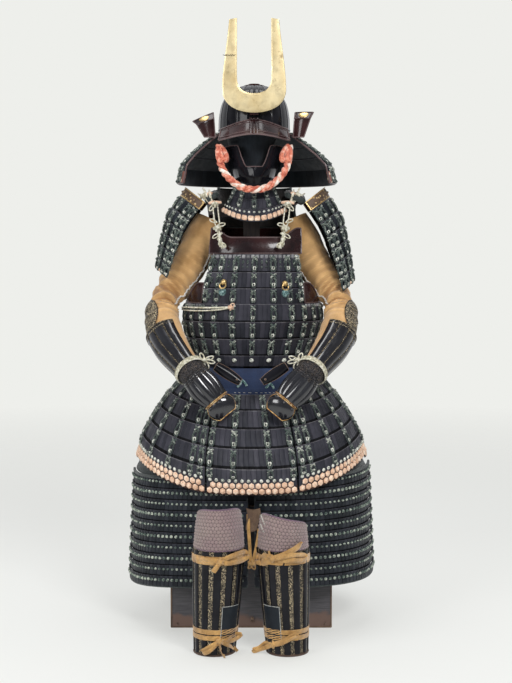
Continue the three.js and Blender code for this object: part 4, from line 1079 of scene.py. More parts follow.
def build_peak():
    crease = lambda u, v: 3.2 * np.exp(-(u / 3.0) ** 2) + 1.0 * np.exp(-((np.abs(u) - 5.5) / 1.2) ** 2)
    peak = Surface(peak_point, 0.5, 0.01)
    visor = Piece(HEAD_X)
    turns = np.unique(np.concatenate([spaced(63, -62, 62), spaced(41, -8, 8)]))
    # The underside takes the near-black painted shade.
    shell(visor, peak, turns, spaced(13), 3, 0, 2, crease)
    rims(visor, peak, spaced(81, -62, 62), (1.0, 2.4, 1, -0.6), (0.8, 1.1, 1, 0.4), (0.06, 2.2, 1, 0.6),
         (0.2, 1.0, 1, 0.4))
    for turn in (-62, 62):
        rim(visor, peak, turn, spaced(9), 2.2, 1, 0)
    stamped(visor, peak, DOT_KNOT, [-5.0, 0, 5.0], 0.03, 3.0, 1.2, 1.2)
    stamped(visor, peak, DOT_KNOT, [-46.0, -30, 30, 46], 0.1, 0.5, 0.8, 0.8)
    visor.made("helmet_peak_lacquer", [BROWN, RIM, PAINTED_SHADE], "brown_lacquer", "helmet_peak")


def build_neck_guard():
    guard = Surface(neck_point, 0.5, 0.004)
    edges = [0, 0.25, 0.5, 0.75, 1]
    rows = Piece(HEAD_X)
    scale_rows(rows, guard, 66, 294, edges, lap=4, plate=15, thick=2.4, shade_from=0.9)
    # The upper edges take the lighter SCALE over the shaded scales: a painted highlight.
    rows.made("neck_guard_rows", [SCALE_DARK, SCALE, PAINTED_SHADE, INSIDE], "laced_scales", "neck_guard")
    lacing = Piece(HEAD_X)
    columns = (70, 78, 94, 110, 128, 146, 164, 180, 196, 214, 232, 250, 266, 282, 290)
    lace_columns(lacing, guard, columns, edges, 4, 1, 0.9)
    for level in edges[1:]:
        places = even_steps(guard, 67, 293, level - 0.03, 17)
        stamped(lacing, guard, SQUARE_KNOT, places, level - 0.035, 2.6, 0.8, 0.8)
    lacing.made("neck_guard_lacing", [LACE, KNOT, PEARL], "lacing")
    binding = Piece(HEAD_X)
    for turn, inward in ((66, 1.2), (294, -1.2)):
        rim(binding, guard, turn, spaced(31), 2.8, 0, -0.4)
        rim(binding, guard, turn + inward, spaced(9, 0.84, 1.0), 6.0, 1, 0)
    rim(binding, guard, spaced(121, 66, 294), 1.0, 2.3, 0, -0.8)
    rims(binding, guard, spaced(121, 67, 293), *((level, 1.8, 2, -3.6) for level in edges[1:-1]))
    binding.made("neck_guard_binding", [RIM, SMOKED, SCALE], "brown_lacquer")


def build_wings():
    for (side, mirror), spread, droop, x in zip(SIDES, (52, 58), (0, 26), (HEAD_X, -HEAD_X)):
        def point(across, down):
            up = 1 - down
            fold = np.clip((up - 0.66) / 0.34, 0, 1)
            return xyz(mixed(112, 118, up) + across * mixed(30, spread, up),
                       -70 - 14 * np.sin(pi * across * 0.7) + 17 * fold,
                       1376 + 54 * np.minimum(up, 0.66) / 0.66 + 18 * fold - droop * across * up)
        face = Surface(point, 0.01, 0.01)
        wing = Piece(x)
        # The back face takes the near-black painted shade.
        shell(wing, face, spaced(17), np.unique(np.append(spaced(21), [0.33, 0.35])), 3, 0, 2)
        edging(wing, face, 0.0, 1.0, 1.9, 1, 0.2, 21)
        rim(wing, face, spaced(17), 0.34, 1.6, 1, 0.6)
        stamped(wing, face, DISC, 0.5, 0.16, 0.8, 1.15, 0.85, paint=3)
        wing.made(f"helmet_wing_{side}_leather", [BROWN, RIM, PAINTED_SHADE, FITTING], "brown_lacquer",
                  f"helmet_wing_{side}", mirror)


def bezier(a, b, c, d, t):
    t = t[:, None]
    a, b, c, d = (np.array(p, float) for p in (a, b, c, d))
    return a * (1 - t) ** 3 + 3 * b * t * (1 - t) ** 2 + 3 * c * t * t * (1 - t) + d * t ** 3


def build_crest():
    """Two tall horns on a crescent, of one gilt plate, with the socket on its back."""
    bottom, top, front = 1440, 1703, -147
    t = spaced(29)
    outer = np.vstack([bezier((-70, top - 4), (-78, top - 90), (-90, bottom + 120), (-90, bottom + 64), t),
                       bezier((-90, bottom + 64), (-90, bottom + 18), (-44, bottom), (0, bottom), t)[1:]])
    inner = np.vstack([bezier((-48, top), (-48, top - 110), (-49, bottom + 118), (-48, bottom + 92), t),
                       bezier((-48, bottom + 92), (-46, bottom + 66), (-28, bottom + 54), (0, bottom + 54),
                              t)[1:]])
    outer, inner = (np.vstack([side, side[-2::-1] * [-1, 1]]) for side in (outer, inner))
    profile = [(0, 2.6), (0, 0.9), (0.03, 0.15), (0.12, -0.25), (0.5, -0.55), (0.88, -0.25), (0.97, 0.15),
               (1, 0.9), (1, 2.6), (0.97, 3.0), (0.03, 3.0)]
    lines = [(mixed(outer, inner, share), front + deep) for share, deep in profile]
    points = np.stack([xyz(line[:, 0], y, line[:, 1]) for line, y in lines], 1)
    crest = Piece(HEAD_X)
    crest.grid(points, 0, False, True)
    ends = list(range(len(profile)))
    crest.add(points[0], [ends])
    crest.add(points[-1], [ends[::-1]])
    bevelled(crest, (-13, 13, front + 2.6, front + 14, bottom + 14, bottom + 38), 1.5, 1)
    mark = Surface(lambda u, v: xyz(u, front - 0.4, v), 0.5, -0.5)
    stamped(crest, mark, SPECK, [3.0, -1.5, 8.0, -72.5], [1488.0, 1490, 1489.5, 1583], -0.3,
            [1.8, 1.2, 1.5, 1.1], [0.8, 0.8, 0.6, 0.9], [0.3, 1.0, -0.4, 0.2])
    crack = [(-88 + 2.2 * k, front - 0.7, 1600 - 18 * (k % 2) * 0.08 + 2.0 * sin(k * 2.1)) for k in range(17)]
    crest.tube(crack, 0.8, 1, 5)
    crest.made("helmet_crest_gilt", [GILT, WORN_HOLE], "gilt_crest", "helmet_crest", body="crest")


def build_mask():
    face = Surface(mask_point, 0.5, 0.01)
    mask = Piece(HEAD_X)
    chin = lambda u, v: 2.6 * np.exp(-(u / 5) ** 2) * bulge(v) + 1.4 * np.exp(-((np.abs(u) - 40) / 7) ** 2)
    shell(mask, face, spaced(129, -96, 96), spaced(21), 3, 0, 1, chin)
    rims(mask, face, spaced(161, -96, 96), (0.0, 1.6, 2, 0.4), (1.0, 2.4, 0, 0.2))
    rim(mask, face, spaced(121, -90, 90), 0.09, 0.9, 0, 0.4)
    mask.made("chin_mask_lacquer", [BLACK, INSIDE, RIM], "black_lacquer", "chin_mask")


def build_throat_guard():
    throat = Surface(throat_point, 0.5, 0.004)
    edges = [0, 1 / 3, 2 / 3, 1]
    rows = Piece(HEAD_X)
    scale_rows(rows, throat, -63, 63, edges, lap=3, plate=12, thick=2.2, shade_from=0.92)
    rows.made("throat_guard_rows", [SCALE, EDGE_WEAR_AND_HIGHLIGHT, PAINTED_SHADE, SCALE_DARK], "laced_scales", "throat_guard")
    lacing = Piece(HEAD_X)
    lace_columns(lacing, throat, (-52, -27, 0, 27, 52), edges, 3, 1, 0.85, skip=(2,))
    stamped(lacing, throat, DOT_KNOT, even_steps(throat, -62, 62, 0.74, 14), 0.74, 2.4, 0.95, 0.9, paint=2)
    stamped(lacing, throat, SQUARE_KNOT, even_steps(throat, -62, 62, 0.03, 14), 0.05, 2.0, 0.8, 0.7)
    lacing.made("throat_guard_lacing", [LACE, KNOT, PEARL], "lacing")
    beads = Piece(HEAD_X)
    stamped(beads, throat, BOX_BEAD, even_steps(throat, -62.5, 62.5, 0.91, 19.5), 0.91, 1.4, 0.98, 0.98)
    beads.made("throat_guard_beads", [BEAD], "bead_rows")


def build_head_form():
    """The plain cloth form that fills the helmet: an egg on a neck."""
    profile = [(0, 1186.6, 0), (36, 1186.6, 0), (38, 1215, 0), (42, 1260, 0), (60, 1330, 0), (76, 1400, 0),
               (80, 1440, 0), (68, 1482, 0), (40, 1508, 0), (0.5, 1516, 0)]
    line = route(profile, spaced(55))
    turn = spaced(49)[:-1] * 2 * pi
    head = Piece()
    rings = xyz(line[:, :1] * np.cos(turn), line[:, :1] * 1.15 * np.sin(turn), line[:, 1:2])
    head.grid(rings[::-1], 0, False, True)
    head.made("head_form_cloth", [HEAD_CLOTH], "navy_cloth", "head_form")


# ------------------------------------------------------------------ shoulder guards

GUARD = table("w inner bulge depth zEnd zMid", (0, 128, 64, 96, 1184, 1234), (0.33, 182, 60, 100, 1118, 1158),
              (0.66, 212, 50, 102, 1046, 1080), (1, 238, 38, 100, 970, 1000))
CAP_FOOT = 0.092


def build_shoulder_guards():
    for (side, mirror), out, lower in zip(SIDES, (21, 0), (38, 0)):
        def point(u, v):
            row, c, s = GUARD(v), np.cos(np.radians(u)), np.sin(np.radians(u))
            return xyz(row.inner + out + row.bulge * c, row.depth * s,
                       mixed(row.zEnd, row.zMid, c) - lower * v)
        guard = Surface(point, 0.5, 0.004)
        edges = [mixed(0.1, 1, k / 6) for k in range(7)]
        rows = Piece()
        scale_rows(rows, guard, -84, 84, edges, plate=13, shade_from=0.86)
        rows.made(f"shoulder_guard_{side}_rows", [SCALE_DARK, EDGE_WEAR_AND_HIGHLIGHT, PAINTED_SHADE, INSIDE], "laced_scales",
                  f"shoulder_guard_{side}", mirror)
        lacing = Piece()
        lace_columns(lacing, guard, (-78, -64, -40, -14, 14, 40, 64, 78), edges, wide=0.95)
        for top, foot in zip(edges, edges[1:]):
            stamped(lacing, guard, SQUARE_KNOT, -71.0, mixed(top, foot, 0.5), 5, 0.9, 1.4)
        lacing.made(f"shoulder_guard_{side}_lacing", [LACE, KNOT, PEARL], "lacing", mirror=mirror)
        hem = Piece()
        stamped(hem, guard, BOX_BEAD, even_steps(guard, -83, 83, 0.975, 16), 0.975, 1.0, 0.74, 0.5)
        hem.made(f"shoulder_guard_{side}_beads", [BEAD], "bead_rows", mirror=mirror)
        cap = Piece()
        shell(cap, guard, spaced(57, -84, 84), spaced(7, 0, CAP_FOOT), 3, 0, 1,
              lambda u, v: 1 + 1.2 * np.sin(pi * v / CAP_FOOT))
        edging(cap, guard, -84, 84, 1.9, 2, 1.2, 57, 0, CAP_FOOT)
        stamped(cap, guard, DOT_KNOT, even_steps(guard, -76, 76, 0.05, 30), 0.05, 2.2, 0.9, 0.9)
        cap.made(f"shoulder_cap_{side}_leather", [PRINTED, BROWN, FITTING], "brown_lacquer",
                 f"shoulder_cap_{side}", mirror)


# ------------------------------------------------------------------ sleeves, forearms and hands

# The left arm from shoulder to wrist: x, y, z and radius.
ARM = np.array([(121, 4, 1142, 44), (149, -2, 1086, 52), (182, -14, 1010, 53), (224, -36, 948, 48),
                (252, -62, 902, 39), (256, -92, 866, 46), (246, -130, 824, 50), (222, -172, 780, 46),
                (190, -214, 742, 38), (166, -246, 716, 33)], float)
OUT_AND_FORWARD = np.array([0.75, -0.55, 0.35])
ELBOW_MAIL = (0.485, 0.69)
BRACER = (-92, 72)
SPLINT_MIDDLES = (-76, -43, -10, 23, 56)
CHAIN_TURNS = (-59.5, -26.5, 6.5, 39.5)


def arm_point(turn, t, out=0.0):
    """A point on the left arm: turn 0 faces out and forward, and t runs from shoulder to wrist."""
    turn, t, out = np.broadcast_arrays(np.radians(np.asarray(turn, float)), np.clip(t, 0, 1), out)
    step = 1e-4
    centre = route(ARM[:, :3], t)
    along = unit(route(ARM[:, :3], np.clip(t + step, 0, 1)) - route(ARM[:, :3], np.clip(t - step, 0, 1)))
    side = unit(OUT_AND_FORWARD - along * (along @ OUT_AND_FORWARD)[..., None])
    across = np.cross(along, side)
    share = np.clip((t - 0.3) / 0.32, 0, 1)
    folds = 3 * np.sin(pi * share) * np.sin(6 * pi * share + np.cos(turn))
    radius = (np.interp(t * (len(ARM) - 1), np.arange(len(ARM)), ARM[:, 3]) + folds + out)[..., None]
    return centre + side * radius * np.cos(turn)[..., None] + across * radius * np.sin(turn)[..., None]


def wrinkles(turn, t):
    """Creases in a sleeve: strong inside the elbow, faint on the upper arm."""
    a = np.radians(turn)
    strong = np.exp(-((t - 0.44) / 0.12) ** 2)
    faint = 0.22 * np.exp(-((t - 0.2) / 0.12) ** 2)
    ends = np.clip(0.55 + 0.5 * np.sin(2 * a + 41 * t + 0.6) + 0.25 * np.sin(3 * a - 67 * t), 0, 1.1)
    wave = np.sin(2 * pi * (8.5 * t + 0.42 * np.sin(a + 0.5)) + 1.1 * np.sin(23 * t))
    other = np.sin(2 * pi * (14 * t - 0.35 * np.sin(a - 0.9)) + 0.9 * np.sin(37 * t))
    crests = 13.0 * (1 - np.abs(wave)) ** 1.3 * ends + 7.0 * (1 - np.abs(other)) ** 2 * (1.1 - ends) - 4.2
    return np.clip((strong + faint) * crests, -5.5, 6.5) - 0.3


def closed_ring(piece, outer, inner, tint=0.5):
    """A tube wall between two grids whose columns run round it."""
    piece.grid(outer, 0, False, True, tint)
    piece.grid(inner[::-1], 0, False, True)
    piece.grid(np.stack([inner[0], outer[0]]), 0, False, True)
    piece.grid(np.stack([outer[-1], inner[-1]]), 0, False, True)


def build_sleeves():
    on_arm = Surface(arm_point, -0.5, 0.002)
    for side, mirror in SIDES:
        build_sleeve(on_arm, side, mirror)
        build_bracer(on_arm, side, mirror)
        build_wrist_band(side, mirror)


def build_sleeve(on_arm, side, mirror):
    turn, t = np.meshgrid(spaced(97)[:-1] * 360, spaced(141))
    lift = wrinkles(turn, t)
    sleeve = Piece()
    # The tint paints shade into the sleeve's creases, darker where the cloth sinks in.
    closed_ring(sleeve, arm_point(turn, t, lift), arm_point(turn, t, lift - 2.0),
                np.clip(0.46 + 0.11 * lift[:-1], 0, 1))
    sleeve = sleeve.made(f"sleeve_{side}_cloth", [OCHRE], "ochre_cloth", f"sleeve_{side}", mirror, sharp=60)
    trim = Piece()
    run = spaced(121, 0.05, 0.47)
    frayed = 112 + 1.6 * np.sin(run * 260) + 1.1 * np.sin(run * 611)
    trim.tube(arm_point(frayed, run, wrinkles(frayed, run) + 1.2), 2.5, 0, 6, up=(1, 0.2, 0.1))
    trim = trim.made(f"sleeve_{side}_piping", [PIPING], "ochre_cloth", mirror=mirror)
    mail = Piece()
    middle, half = 0.59, 0.11
    lens = lambda v: 54 * np.sqrt(np.clip(1 - ((v - middle) / half) ** 2, 0, 1)) + 1
    shares, levels = np.meshgrid(spaced(31, -1, 1), spaced(31, *ELBOW_MAIL))
    for out, order in ((4.2, 1), (1.8, -1)):
        mail.grid(arm_point(shares * lens(levels) - 20, levels, out)[::order], 0)
    levels = spaced(41, *ELBOW_MAIL)
    for way in (-1, 1):
        mail.tube(arm_point(way * lens(levels) - 20, levels, 3.6), 1.8, 1, 6, up=(0.3, 0.4, 0.9))
    for level, turns in ((0.55, (-20, 6)), (0.60, (-30, -6, 16)), (0.645, (-22, 2))):
        stamped(mail, on_arm, SMALL_PLATE, turns, level, 4.0)
    mail = mail.made(f"elbow_{side}_mail", [MAIL_GOLD, MAIL], "mail", mirror=mirror)


def build_bracer(on_arm, side, mirror):
    """The splinted forearm guard: five splints on a leather, with chains between them."""
    bracer = Piece()
    shell(bracer, on_arm, spaced(61, *BRACER), spaced(31, 0.68, 0.975), 3.0, 1, 1, 5.6)
    half = 13.5
    for middle in SPLINT_MIDDLES:
        shell(bracer, on_arm, spaced(11, middle - half, middle + half), spaced(31, 0.69, 0.97), 2.0,
              height=lambda u, v: 7.4 + 2.0 * np.cos((u - middle) / half * pi / 2))
    for turn in CHAIN_TURNS:
        bracer.tube(arm_point(turn, spaced(41, 0.69, 0.97), 7.2), 1.3, 2, 5)
    for level in (0.685, 0.70):
        bracer.tube(arm_point(spaced(61, *BRACER), level, 8.4), 2.0, 2, 6, up=(0.3, 0.4, 0.9))
    for turn in BRACER:
        bracer.tube(arm_point(turn, spaced(41, 0.68, 0.975), 5.2), 2.0, 3, 6)
    bracer.made(f"forearm_{side}_splints", [POLISHED, MAIL, MAIL_GOLD, BROWN], "black_lacquer",
                f"forearm_guard_{side}", mirror)


def build_wrist_band(side, mirror):
    band = Piece()
    turn = spaced(49)[:-1]
    for k, level in enumerate(spaced(4, 0.973, 0.998)):
        ring = arm_point(turn * 360, level, 11.4 + 0.6 * np.sin(turn * 4 * pi + k))
        band.tube(ring, 1.8, 0, 6, closed=True, tint=0.2 * k, up=(0.3, 0.2, 0.9))
    tie = arm_point(118, 0.985, 14)
    knotted(band, tie, 17, (-0.4, -0.9, 0.2))
    for tip in ((-26, -6, 10), (-30, -8, -6), (-12, -8, -22), (10, -7, 20)):
        loop(band, tie, tie + np.array(tip), 9, 1.9)
    band.made(f"wrist_band_{side}", [SILK], "pale_cord", f"wrist_cord_{side}", mirror)


WRIST = np.array([158.0, -262, 712])
FORWARD = np.array([-0.64, -0.18, -0.75])
FORWARD /= np.linalg.norm(FORWARD)
OUTWARD = np.array([0.1, -0.93, 0.34])
OUTWARD -= FORWARD * (OUTWARD @ FORWARD)
OUTWARD /= np.linalg.norm(OUTWARD)
THUMBWARD = np.cross(FORWARD, OUTWARD)


def on_hand(forward, thumbward, outward):
    parts = np.broadcast_arrays(forward, thumbward, outward)
    return WRIST + sum(p[..., None] * way for p, way in zip(parts, (FORWARD, THUMBWARD, OUTWARD)))


def back_point(u, v):
    u = np.radians(u)
    wide = 43 * (0.86 + 0.14 * np.sin(pi * v))
    return on_hand(mixed(4, 96, v), -wide * np.sin(u), 30 * np.cos(u) * (1 - 0.25 * v * v) - 6)


def finger_point(u, v):
    u = np.radians(u)
    wide = 40 * np.sin(mixed(0.26, 0.84, v) * pi) ** 0.6
    return on_hand(mixed(100, 146, v), -wide * np.sin(u), 24 * np.cos(u) * (1 - 0.75 * v * v) - 8)


def thumb_point(u, v):
    reach = np.array([78.0, 24.0])
    length = np.linalg.norm(reach)
    way = reach / length
    wide = -15 * np.sin(mixed(0.22, 0.88, v) * pi) ** 0.5 * np.sin(np.radians(u))
    return on_hand(22 + way[0] * length * v - way[1] * wide, 60 + way[1] * length * v + way[0] * wide,
                   14 * np.cos(np.radians(u)) * (1 - 0.3 * v) - 4)


def cuff_rings():
    """Mail from the sleeve's end to the hand plate, closed over the hand."""
    angle = spaced(49)[:-1] * 2 * pi
    sleeve_end = arm_point(np.degrees(angle), 0.99, 8.0)
    around = sleeve_end - sleeve_end.mean(0)
    bearing = np.arctan2(around @ THUMBWARD, around @ OUTWARD)
    hand_end = on_hand(16.0, 37 * np.sin(bearing), 23 * np.cos(bearing) - 9)
    shares = spaced(11)[:, None, None]
    rings = mixed(sleeve_end[None], hand_end[None], shares) + 3.5 * np.sin(pi * shares) * OUTWARD
    return np.concatenate([rings, mixed(hand_end, hand_end.mean(0), 0.55)[None]])


def build_hands():
    back, fingers, thumb = (Surface(p, 0.5, 0.01) for p in (back_point, finger_point, thumb_point))
    def knuckles(u, v):
        comb = np.abs(np.sin(pi * (np.clip(u, -70, 70) + 70) / 140 * 4.5)) ** 0.7
        return 4.2 * comb * bulge(v * 0.9 + 0.1) ** 0.5
    for side, mirror in SIDES:
        guard = Piece()
        shell(guard, back, spaced(91, -84, 84), spaced(31), 2.5, 0, 2, knuckles)
        rim(guard, back, spaced(61, -84, 84), 1.0, 1.3, 1, 0.4)
        stamped(guard, back, DOT_KNOT, [-64.0, -32, 0, 32, 64], 0.95, 1.6, 0.7, 0.7)
        rims(guard, back, spaced(61, -80, 80), *((level, 2.6, 3, 1.2) for level in (0.0, 0.07, 0.14)))
        cuff = cuff_rings()
        cap = list(range(cuff.shape[1]))
        guard.grid(cuff, 3, False, True)
        guard.add(cuff[-1], [cap[::-1]], 3)
        guard.add(cuff[0], [cap], 3)
        guard.made(f"hand_{side}_plate", [POLISHED, CORD_GOLD, INSIDE, CUFF], "black_lacquer",
                   f"hand_guard_{side}", mirror)
        tips = Piece()
        shell(tips, fingers, spaced(61, -84, 84), spaced(23), 2.5, 0, 2, lambda u, v: 1.5 * bulge(v))
        edging(tips, fingers, -84, 84, 1.2, 1, 0.6, 61)
        stamped(tips, fingers, DOT_KNOT, [-50.0, 0, 50], 0.14, 1.6)
        tips.made(f"finger_{side}_plate", [POLISHED, CORD_GOLD, INSIDE], "black_lacquer",
                  f"finger_guard_{side}", mirror)
        small = Piece()
        shell(small, thumb, spaced(31, -80, 80), spaced(21), 2.5, 0, 2)
        edging(small, thumb, -80, 80, 0.9, 1, 0.3, 31)
        stamped(small, thumb, DOT_KNOT, 0.0, 0.86, 0.8, 0.8, 0.8, paint=1)
        small.made(f"thumb_{side}_plate", [BLACK, WORN_BROWN, INSIDE], "black_lacquer", f"thumb_guard_{side}",
                   mirror)


# ------------------------------------------------------------------ sash

SASH = table("z half front back",
             (716, 160, 134, 118), (690, 168, 146, 132), (655, 178, 160, 150), (628, 186, 171, 162))
SASH_TIES = (((-18, 684), (-30, 664)), ((-18, 684), (-8, 668)), ((42, 676), (30, 662)),
             ((42, 676), (52, 660)))


def build_sash():
    def point(u, v):
        z = mixed(716, 628, v)
        return section(SASH(z), u, z, 2.4)
    band = Surface(point, 0.5, 0.01)
    sash = Piece()
    turn, v = np.meshgrid(spaced(181)[:-1] * 360, spaced(41))
    a = np.radians(turn)
    folds = 1.4 * np.abs(np.sin(pi * (3.2 * v + 0.10 * np.sin(a + 0.6) + 0.05 * np.sin(3 * a)))) ** 0.6 - 0.9
    closed_ring(sash, band.lift(turn, v, folds)[::-1], band.lift(turn, v, folds - 2.0)[::-1])
    sash = sash.made("sash_cloth", [NAVY], "navy_cloth", "sash", sharp=60)
    stitches = Piece()
    for turn in (*spaced(9, -12, 16), *spaced(5, -34, -20)):
        stitches.tube(band.lift([turn, turn + 1.5], [0.76, 0.765], 0.6), 0.7, 0, 5, up=(0, 0, 1))
    for ends in SASH_TIES:
        start, tip = (section(SASH(z), np.degrees(np.arcsin(x / 175)), z, 2.4) + [0, -3, 0] for x, z in ends)
        run = curve([start, mixed(start, tip, 0.5) + [2, -3, 0], tip], 9)
        stitches.tube(run, 3.2, 1, 6, flat=0.4, wide=(1, 0, 0.6))
    stitches = stitches.made("sash_ties", [PIPING, TEAL], "navy_cloth")


# ------------------------------------------------------------------ legs

SHIN = table("z x half front", (280, 84, 67, 66), (150, 89, 61, 60), (0, 96, 52, 54))
KNEE = table("z x half front", (390, 83, 54, 70), (336, 83, 62, 78), (281, 84, 66, 70))
SHIN_Y = -500
SHIN_TURN = 112
SPLINTS = [29.6 * k for k in range(-3, 4)]


def shin_point(u, z):
    row = SHIN(z)
    return section(row, u, z, 2, row.x, SHIN_Y)


def on_shin(x, z, out):
    """A point in front of the left shin at x and z, that far off its surface."""
    row = SHIN(z)
    s = np.clip((x - row.x) / row.half, -0.94, 0.94)
    deep = np.sqrt(1 - s * s)
    return (x, SHIN_Y - row.front * deep - out * deep, z)


# Each loop and end of the ribbons' bows: its run as x, z and distance out, its width and its flatness.
SHIN_RIBBONS = {
    ("right", "upper"): [
        ([(79, 255, 5), (60, 264, 10), (34, 271, 15), (14, 270, 16), (8, 261, 17), (16, 252, 16),
          (42, 250, 13), (66, 250, 9), (78, 254, 6)], 13, 0.25),
        ([(79, 256, 6), (96, 258, 11), (116, 259, 11), (132, 256, 8), (118, 251, 7), (96, 252, 7),
          (80, 254, 5)], 12, 0.3),
        ([(80, 252, 7), (88, 240, 9), (97, 227, 7)], 13, 0.2),
        ([(78, 252, 7), (88, 244, 12), (92, 236, 9)], 9, 0.2)],
    ("right", "lower"): [
        ([(81, 44, 6), (98, 36, 13), (118, 22, 13), (126, 15, 12), (122, 11, 14), (104, 22, 15), (84, 40, 9)],
         11, 0.3),
        ([(80, 44, 6), (62, 46, 14), (42, 52, 16), (26, 52, 17), (30, 46, 19), (54, 40, 16), (78, 42, 9)],
         11, 0.3),
        ([(79, 42, 8), (60, 32, 15), (44, 15, 18), (35, 7, 19)], 11, 0.2),
        ([(81, 42, 9), (79, 26, 12), (76, 14, 14), (72, 8.2, 24), (67, 7.4, 36)], 12, 0.18)],
    ("left", "upper"): [
        ([(55, 262, 5), (40, 266, 10), (22, 260, 14), (14, 246, 15), (26, 242, 15), (44, 250, 10),
          (55, 260, 6)], 13, 0.25),
        ([(56, 262, 7), (78, 272, 13), (104, 286, 18), (130, 300, 21), (124, 292, 20), (98, 276, 15),
          (62, 262, 8)], 13, 0.2),
        ([(56, 261, 8), (84, 270, 16), (112, 272, 16), (141, 262, 15), (138, 254, 14), (108, 258, 13),
          (70, 258, 8)], 14, 0.25),
        ([(54, 262, 9), (48, 272, 11), (46, 281, 9)], 8, 0.2)],
    ("left", "lower"): [
        ([(58, 31, 7), (38, 28, 15), (18, 15, 19), (6, 11, 21), (8, 7.6, 23), (30, 14, 19), (54, 28, 9)],
         12, 0.25),
        ([(58, 30, 8), (80, 40, 12), (104, 52, 13), (119, 58, 12), (113, 62, 11), (84, 46, 12), (62, 34, 9)],
         12, 0.25),
        ([(60, 30, 9), (78, 44, 11), (88, 58, 9)], 8, 0.2)],
}
KNOTS = {("right", "upper"): (79, 254), ("right", "lower"): (81, 43),
         ("left", "upper"): (55, 261), ("left", "lower"): (58, 31)}
BANDS = {"upper": ((244, 266),), "lower": ((44, 56.5), (59.5, 72))}


def build_shins():
    guard = Surface(shin_point, 0.5, -1)
    for side, mirror in SIDES:
        build_shin(guard, side, mirror)
        build_knee(side, mirror)
        for level, bands in BANDS.items():
            ties = Piece()
            for low, high in bands:
                shell(ties, guard, spaced(71, -116, 116), spaced(5, high, low), 1.4,
                      height=lambda u, z: 4.0 + 0.7 * np.sin(u * 0.31 + z))
            for points, width, flat in SHIN_RIBBONS[side, level]:
                run = curve([on_shin(*p) for p in points], 8 * len(points))
                ties.tube(run, width / 2, 0, 8, flat=flat, wide=(0.25, -0.2, 1))
            x, z = KNOTS[side, level]
            knotted(ties, np.array(on_shin(x, z, 8)), 19, (0, -1, 0.1), 0, (0.3, 1.4, 2.4))
            ties.made(f"shin_ribbon_{level}_{side}", [RIBBON], "ribbon", f"shin_tie_{level}_{side}", mirror,
                      sharp=60)


def build_shin(guard, side, mirror):
    """Seven splints on a leather, a square patch, and a bound edge."""
    shin = Piece()
    turns = (-SHIN_TURN, SHIN_TURN)
    heights = np.unique(np.append(spaced(37, 0, 280), [1.5, 278.5]))[::-1]
    shell(shin, guard, spaced(91, *turns), heights, 3, 1, 3)
    half = 9.2
    for middle in SPLINTS:
        shell(shin, guard, spaced(13, middle - half, middle + half), spaced(19, 277, 5), 2.2,
              height=lambda u, z: 0.9 + 2.6 * np.sqrt(np.clip(np.cos((u - middle) / half * pi / 2), 0, 1)))
    across, down = spaced(15, -62, -15), spaced(11, 133, 34)
    shell(shin, guard, across, down, 1.4, 3, 3, 3.9)
    shin.tube(guard.lift(across, down[0], 4.0), 0.9, 4, 5)
    shin.tube(guard.lift(across[-1], down, 4.0), 0.9, 4, 5)
    shin.tube(guard.lift(spaced(61, *turns), 3.4, 1.4), 3.2, 2, 7)
    for turn in turns:
        shin.tube(guard.lift(turn, spaced(31, 4, 278), -0.6), 2.6, 2, 6)
    shin.made(f"shin_{side}_splints", [BLACK, MAIL_GOLD, LEATHER, INSIDE, PALE_STITCH], "black_lacquer",
              f"shin_guard_{side}", mirror)


def quilting(along, up, pitch=10.5):
    """Height of small hexagonal pillows: 1 in the middle of each and 0 on its seams."""
    best = np.full(np.shape(along), 9.0)
    row = pitch * 0.866
    for shift in (0, 1):
        y = (np.round((up / row - shift) / 2) * 2 + shift) * row
        x = (np.round(along / pitch - 0.5 * shift) + 0.5 * shift) * pitch
        best = np.minimum(best, np.hypot(along - x, up - y))
    return 1 - np.clip(best / (pitch * 0.55), 0, 1) ** 2.2


def build_knee(side, mirror):
    """A quilted knee guard, lower at its outer side, with a bound edge; the left one's seam is frayed."""
    inner, outer = {"left": (376, 352), "right": (388, 384)}[side]
    def point(u, v):
        z = mixed(mixed(inner, outer, smooth((u + 84) / 168)) - 14 * (u / 84) ** 4, 281, v)
        row = KNEE(z)
        return section(row, u, z, 2, row.x, SHIN_Y)
    knee = Surface(point, 0.5, 0.01)
    tall = float(knee.sizes(0.0, 0.5)[1])
    quilt = lambda u, v: quilting(np.radians(u) * 68, v * tall)
    pad = Piece()
    # The quilting tint paints shade into the seams between the pillows.
    shell(pad, knee, spaced(121, -84, 84), spaced(61), 6, 0, 1,
          lambda u, v: 3.2 * quilt(u, v) - 1.0 + 0.8 * bulge(v) * np.cos(np.radians(u)), quilt)
    pad = pad.made(f"knee_{side}_quilt", [QUILT, QUILT_EDGE], "knee_quilting", f"knee_guard_{side}", mirror,
                   sharp=70)
    binding = Piece()
    for level in (0.0, 1.0):
        binding.tube(knee.lift(spaced(81, -84, 84), level, -2.6), 3.3, 0, 8)
    for turn in (-84, 84):
        binding.tube(knee.lift(turn, spaced(21), -2.6), 3.3, 0, 8)
    if side == "left":
        for k in range(9):
            u, v = -74 + 3.6 * (k % 5) + k, 0.05 + 0.055 * k
            ends = knee.lift([u, u + 4.0, u + 6.5], [v, v - 0.035, v + 0.04], [0.8, 2.6, 0.6])
            binding.tube(curve(ends, 7), 1.3, 1, 5)
    binding.made(f"knee_{side}_binding", [QUILT_EDGE, PIPING], "knee_quilting", mirror=mirror)


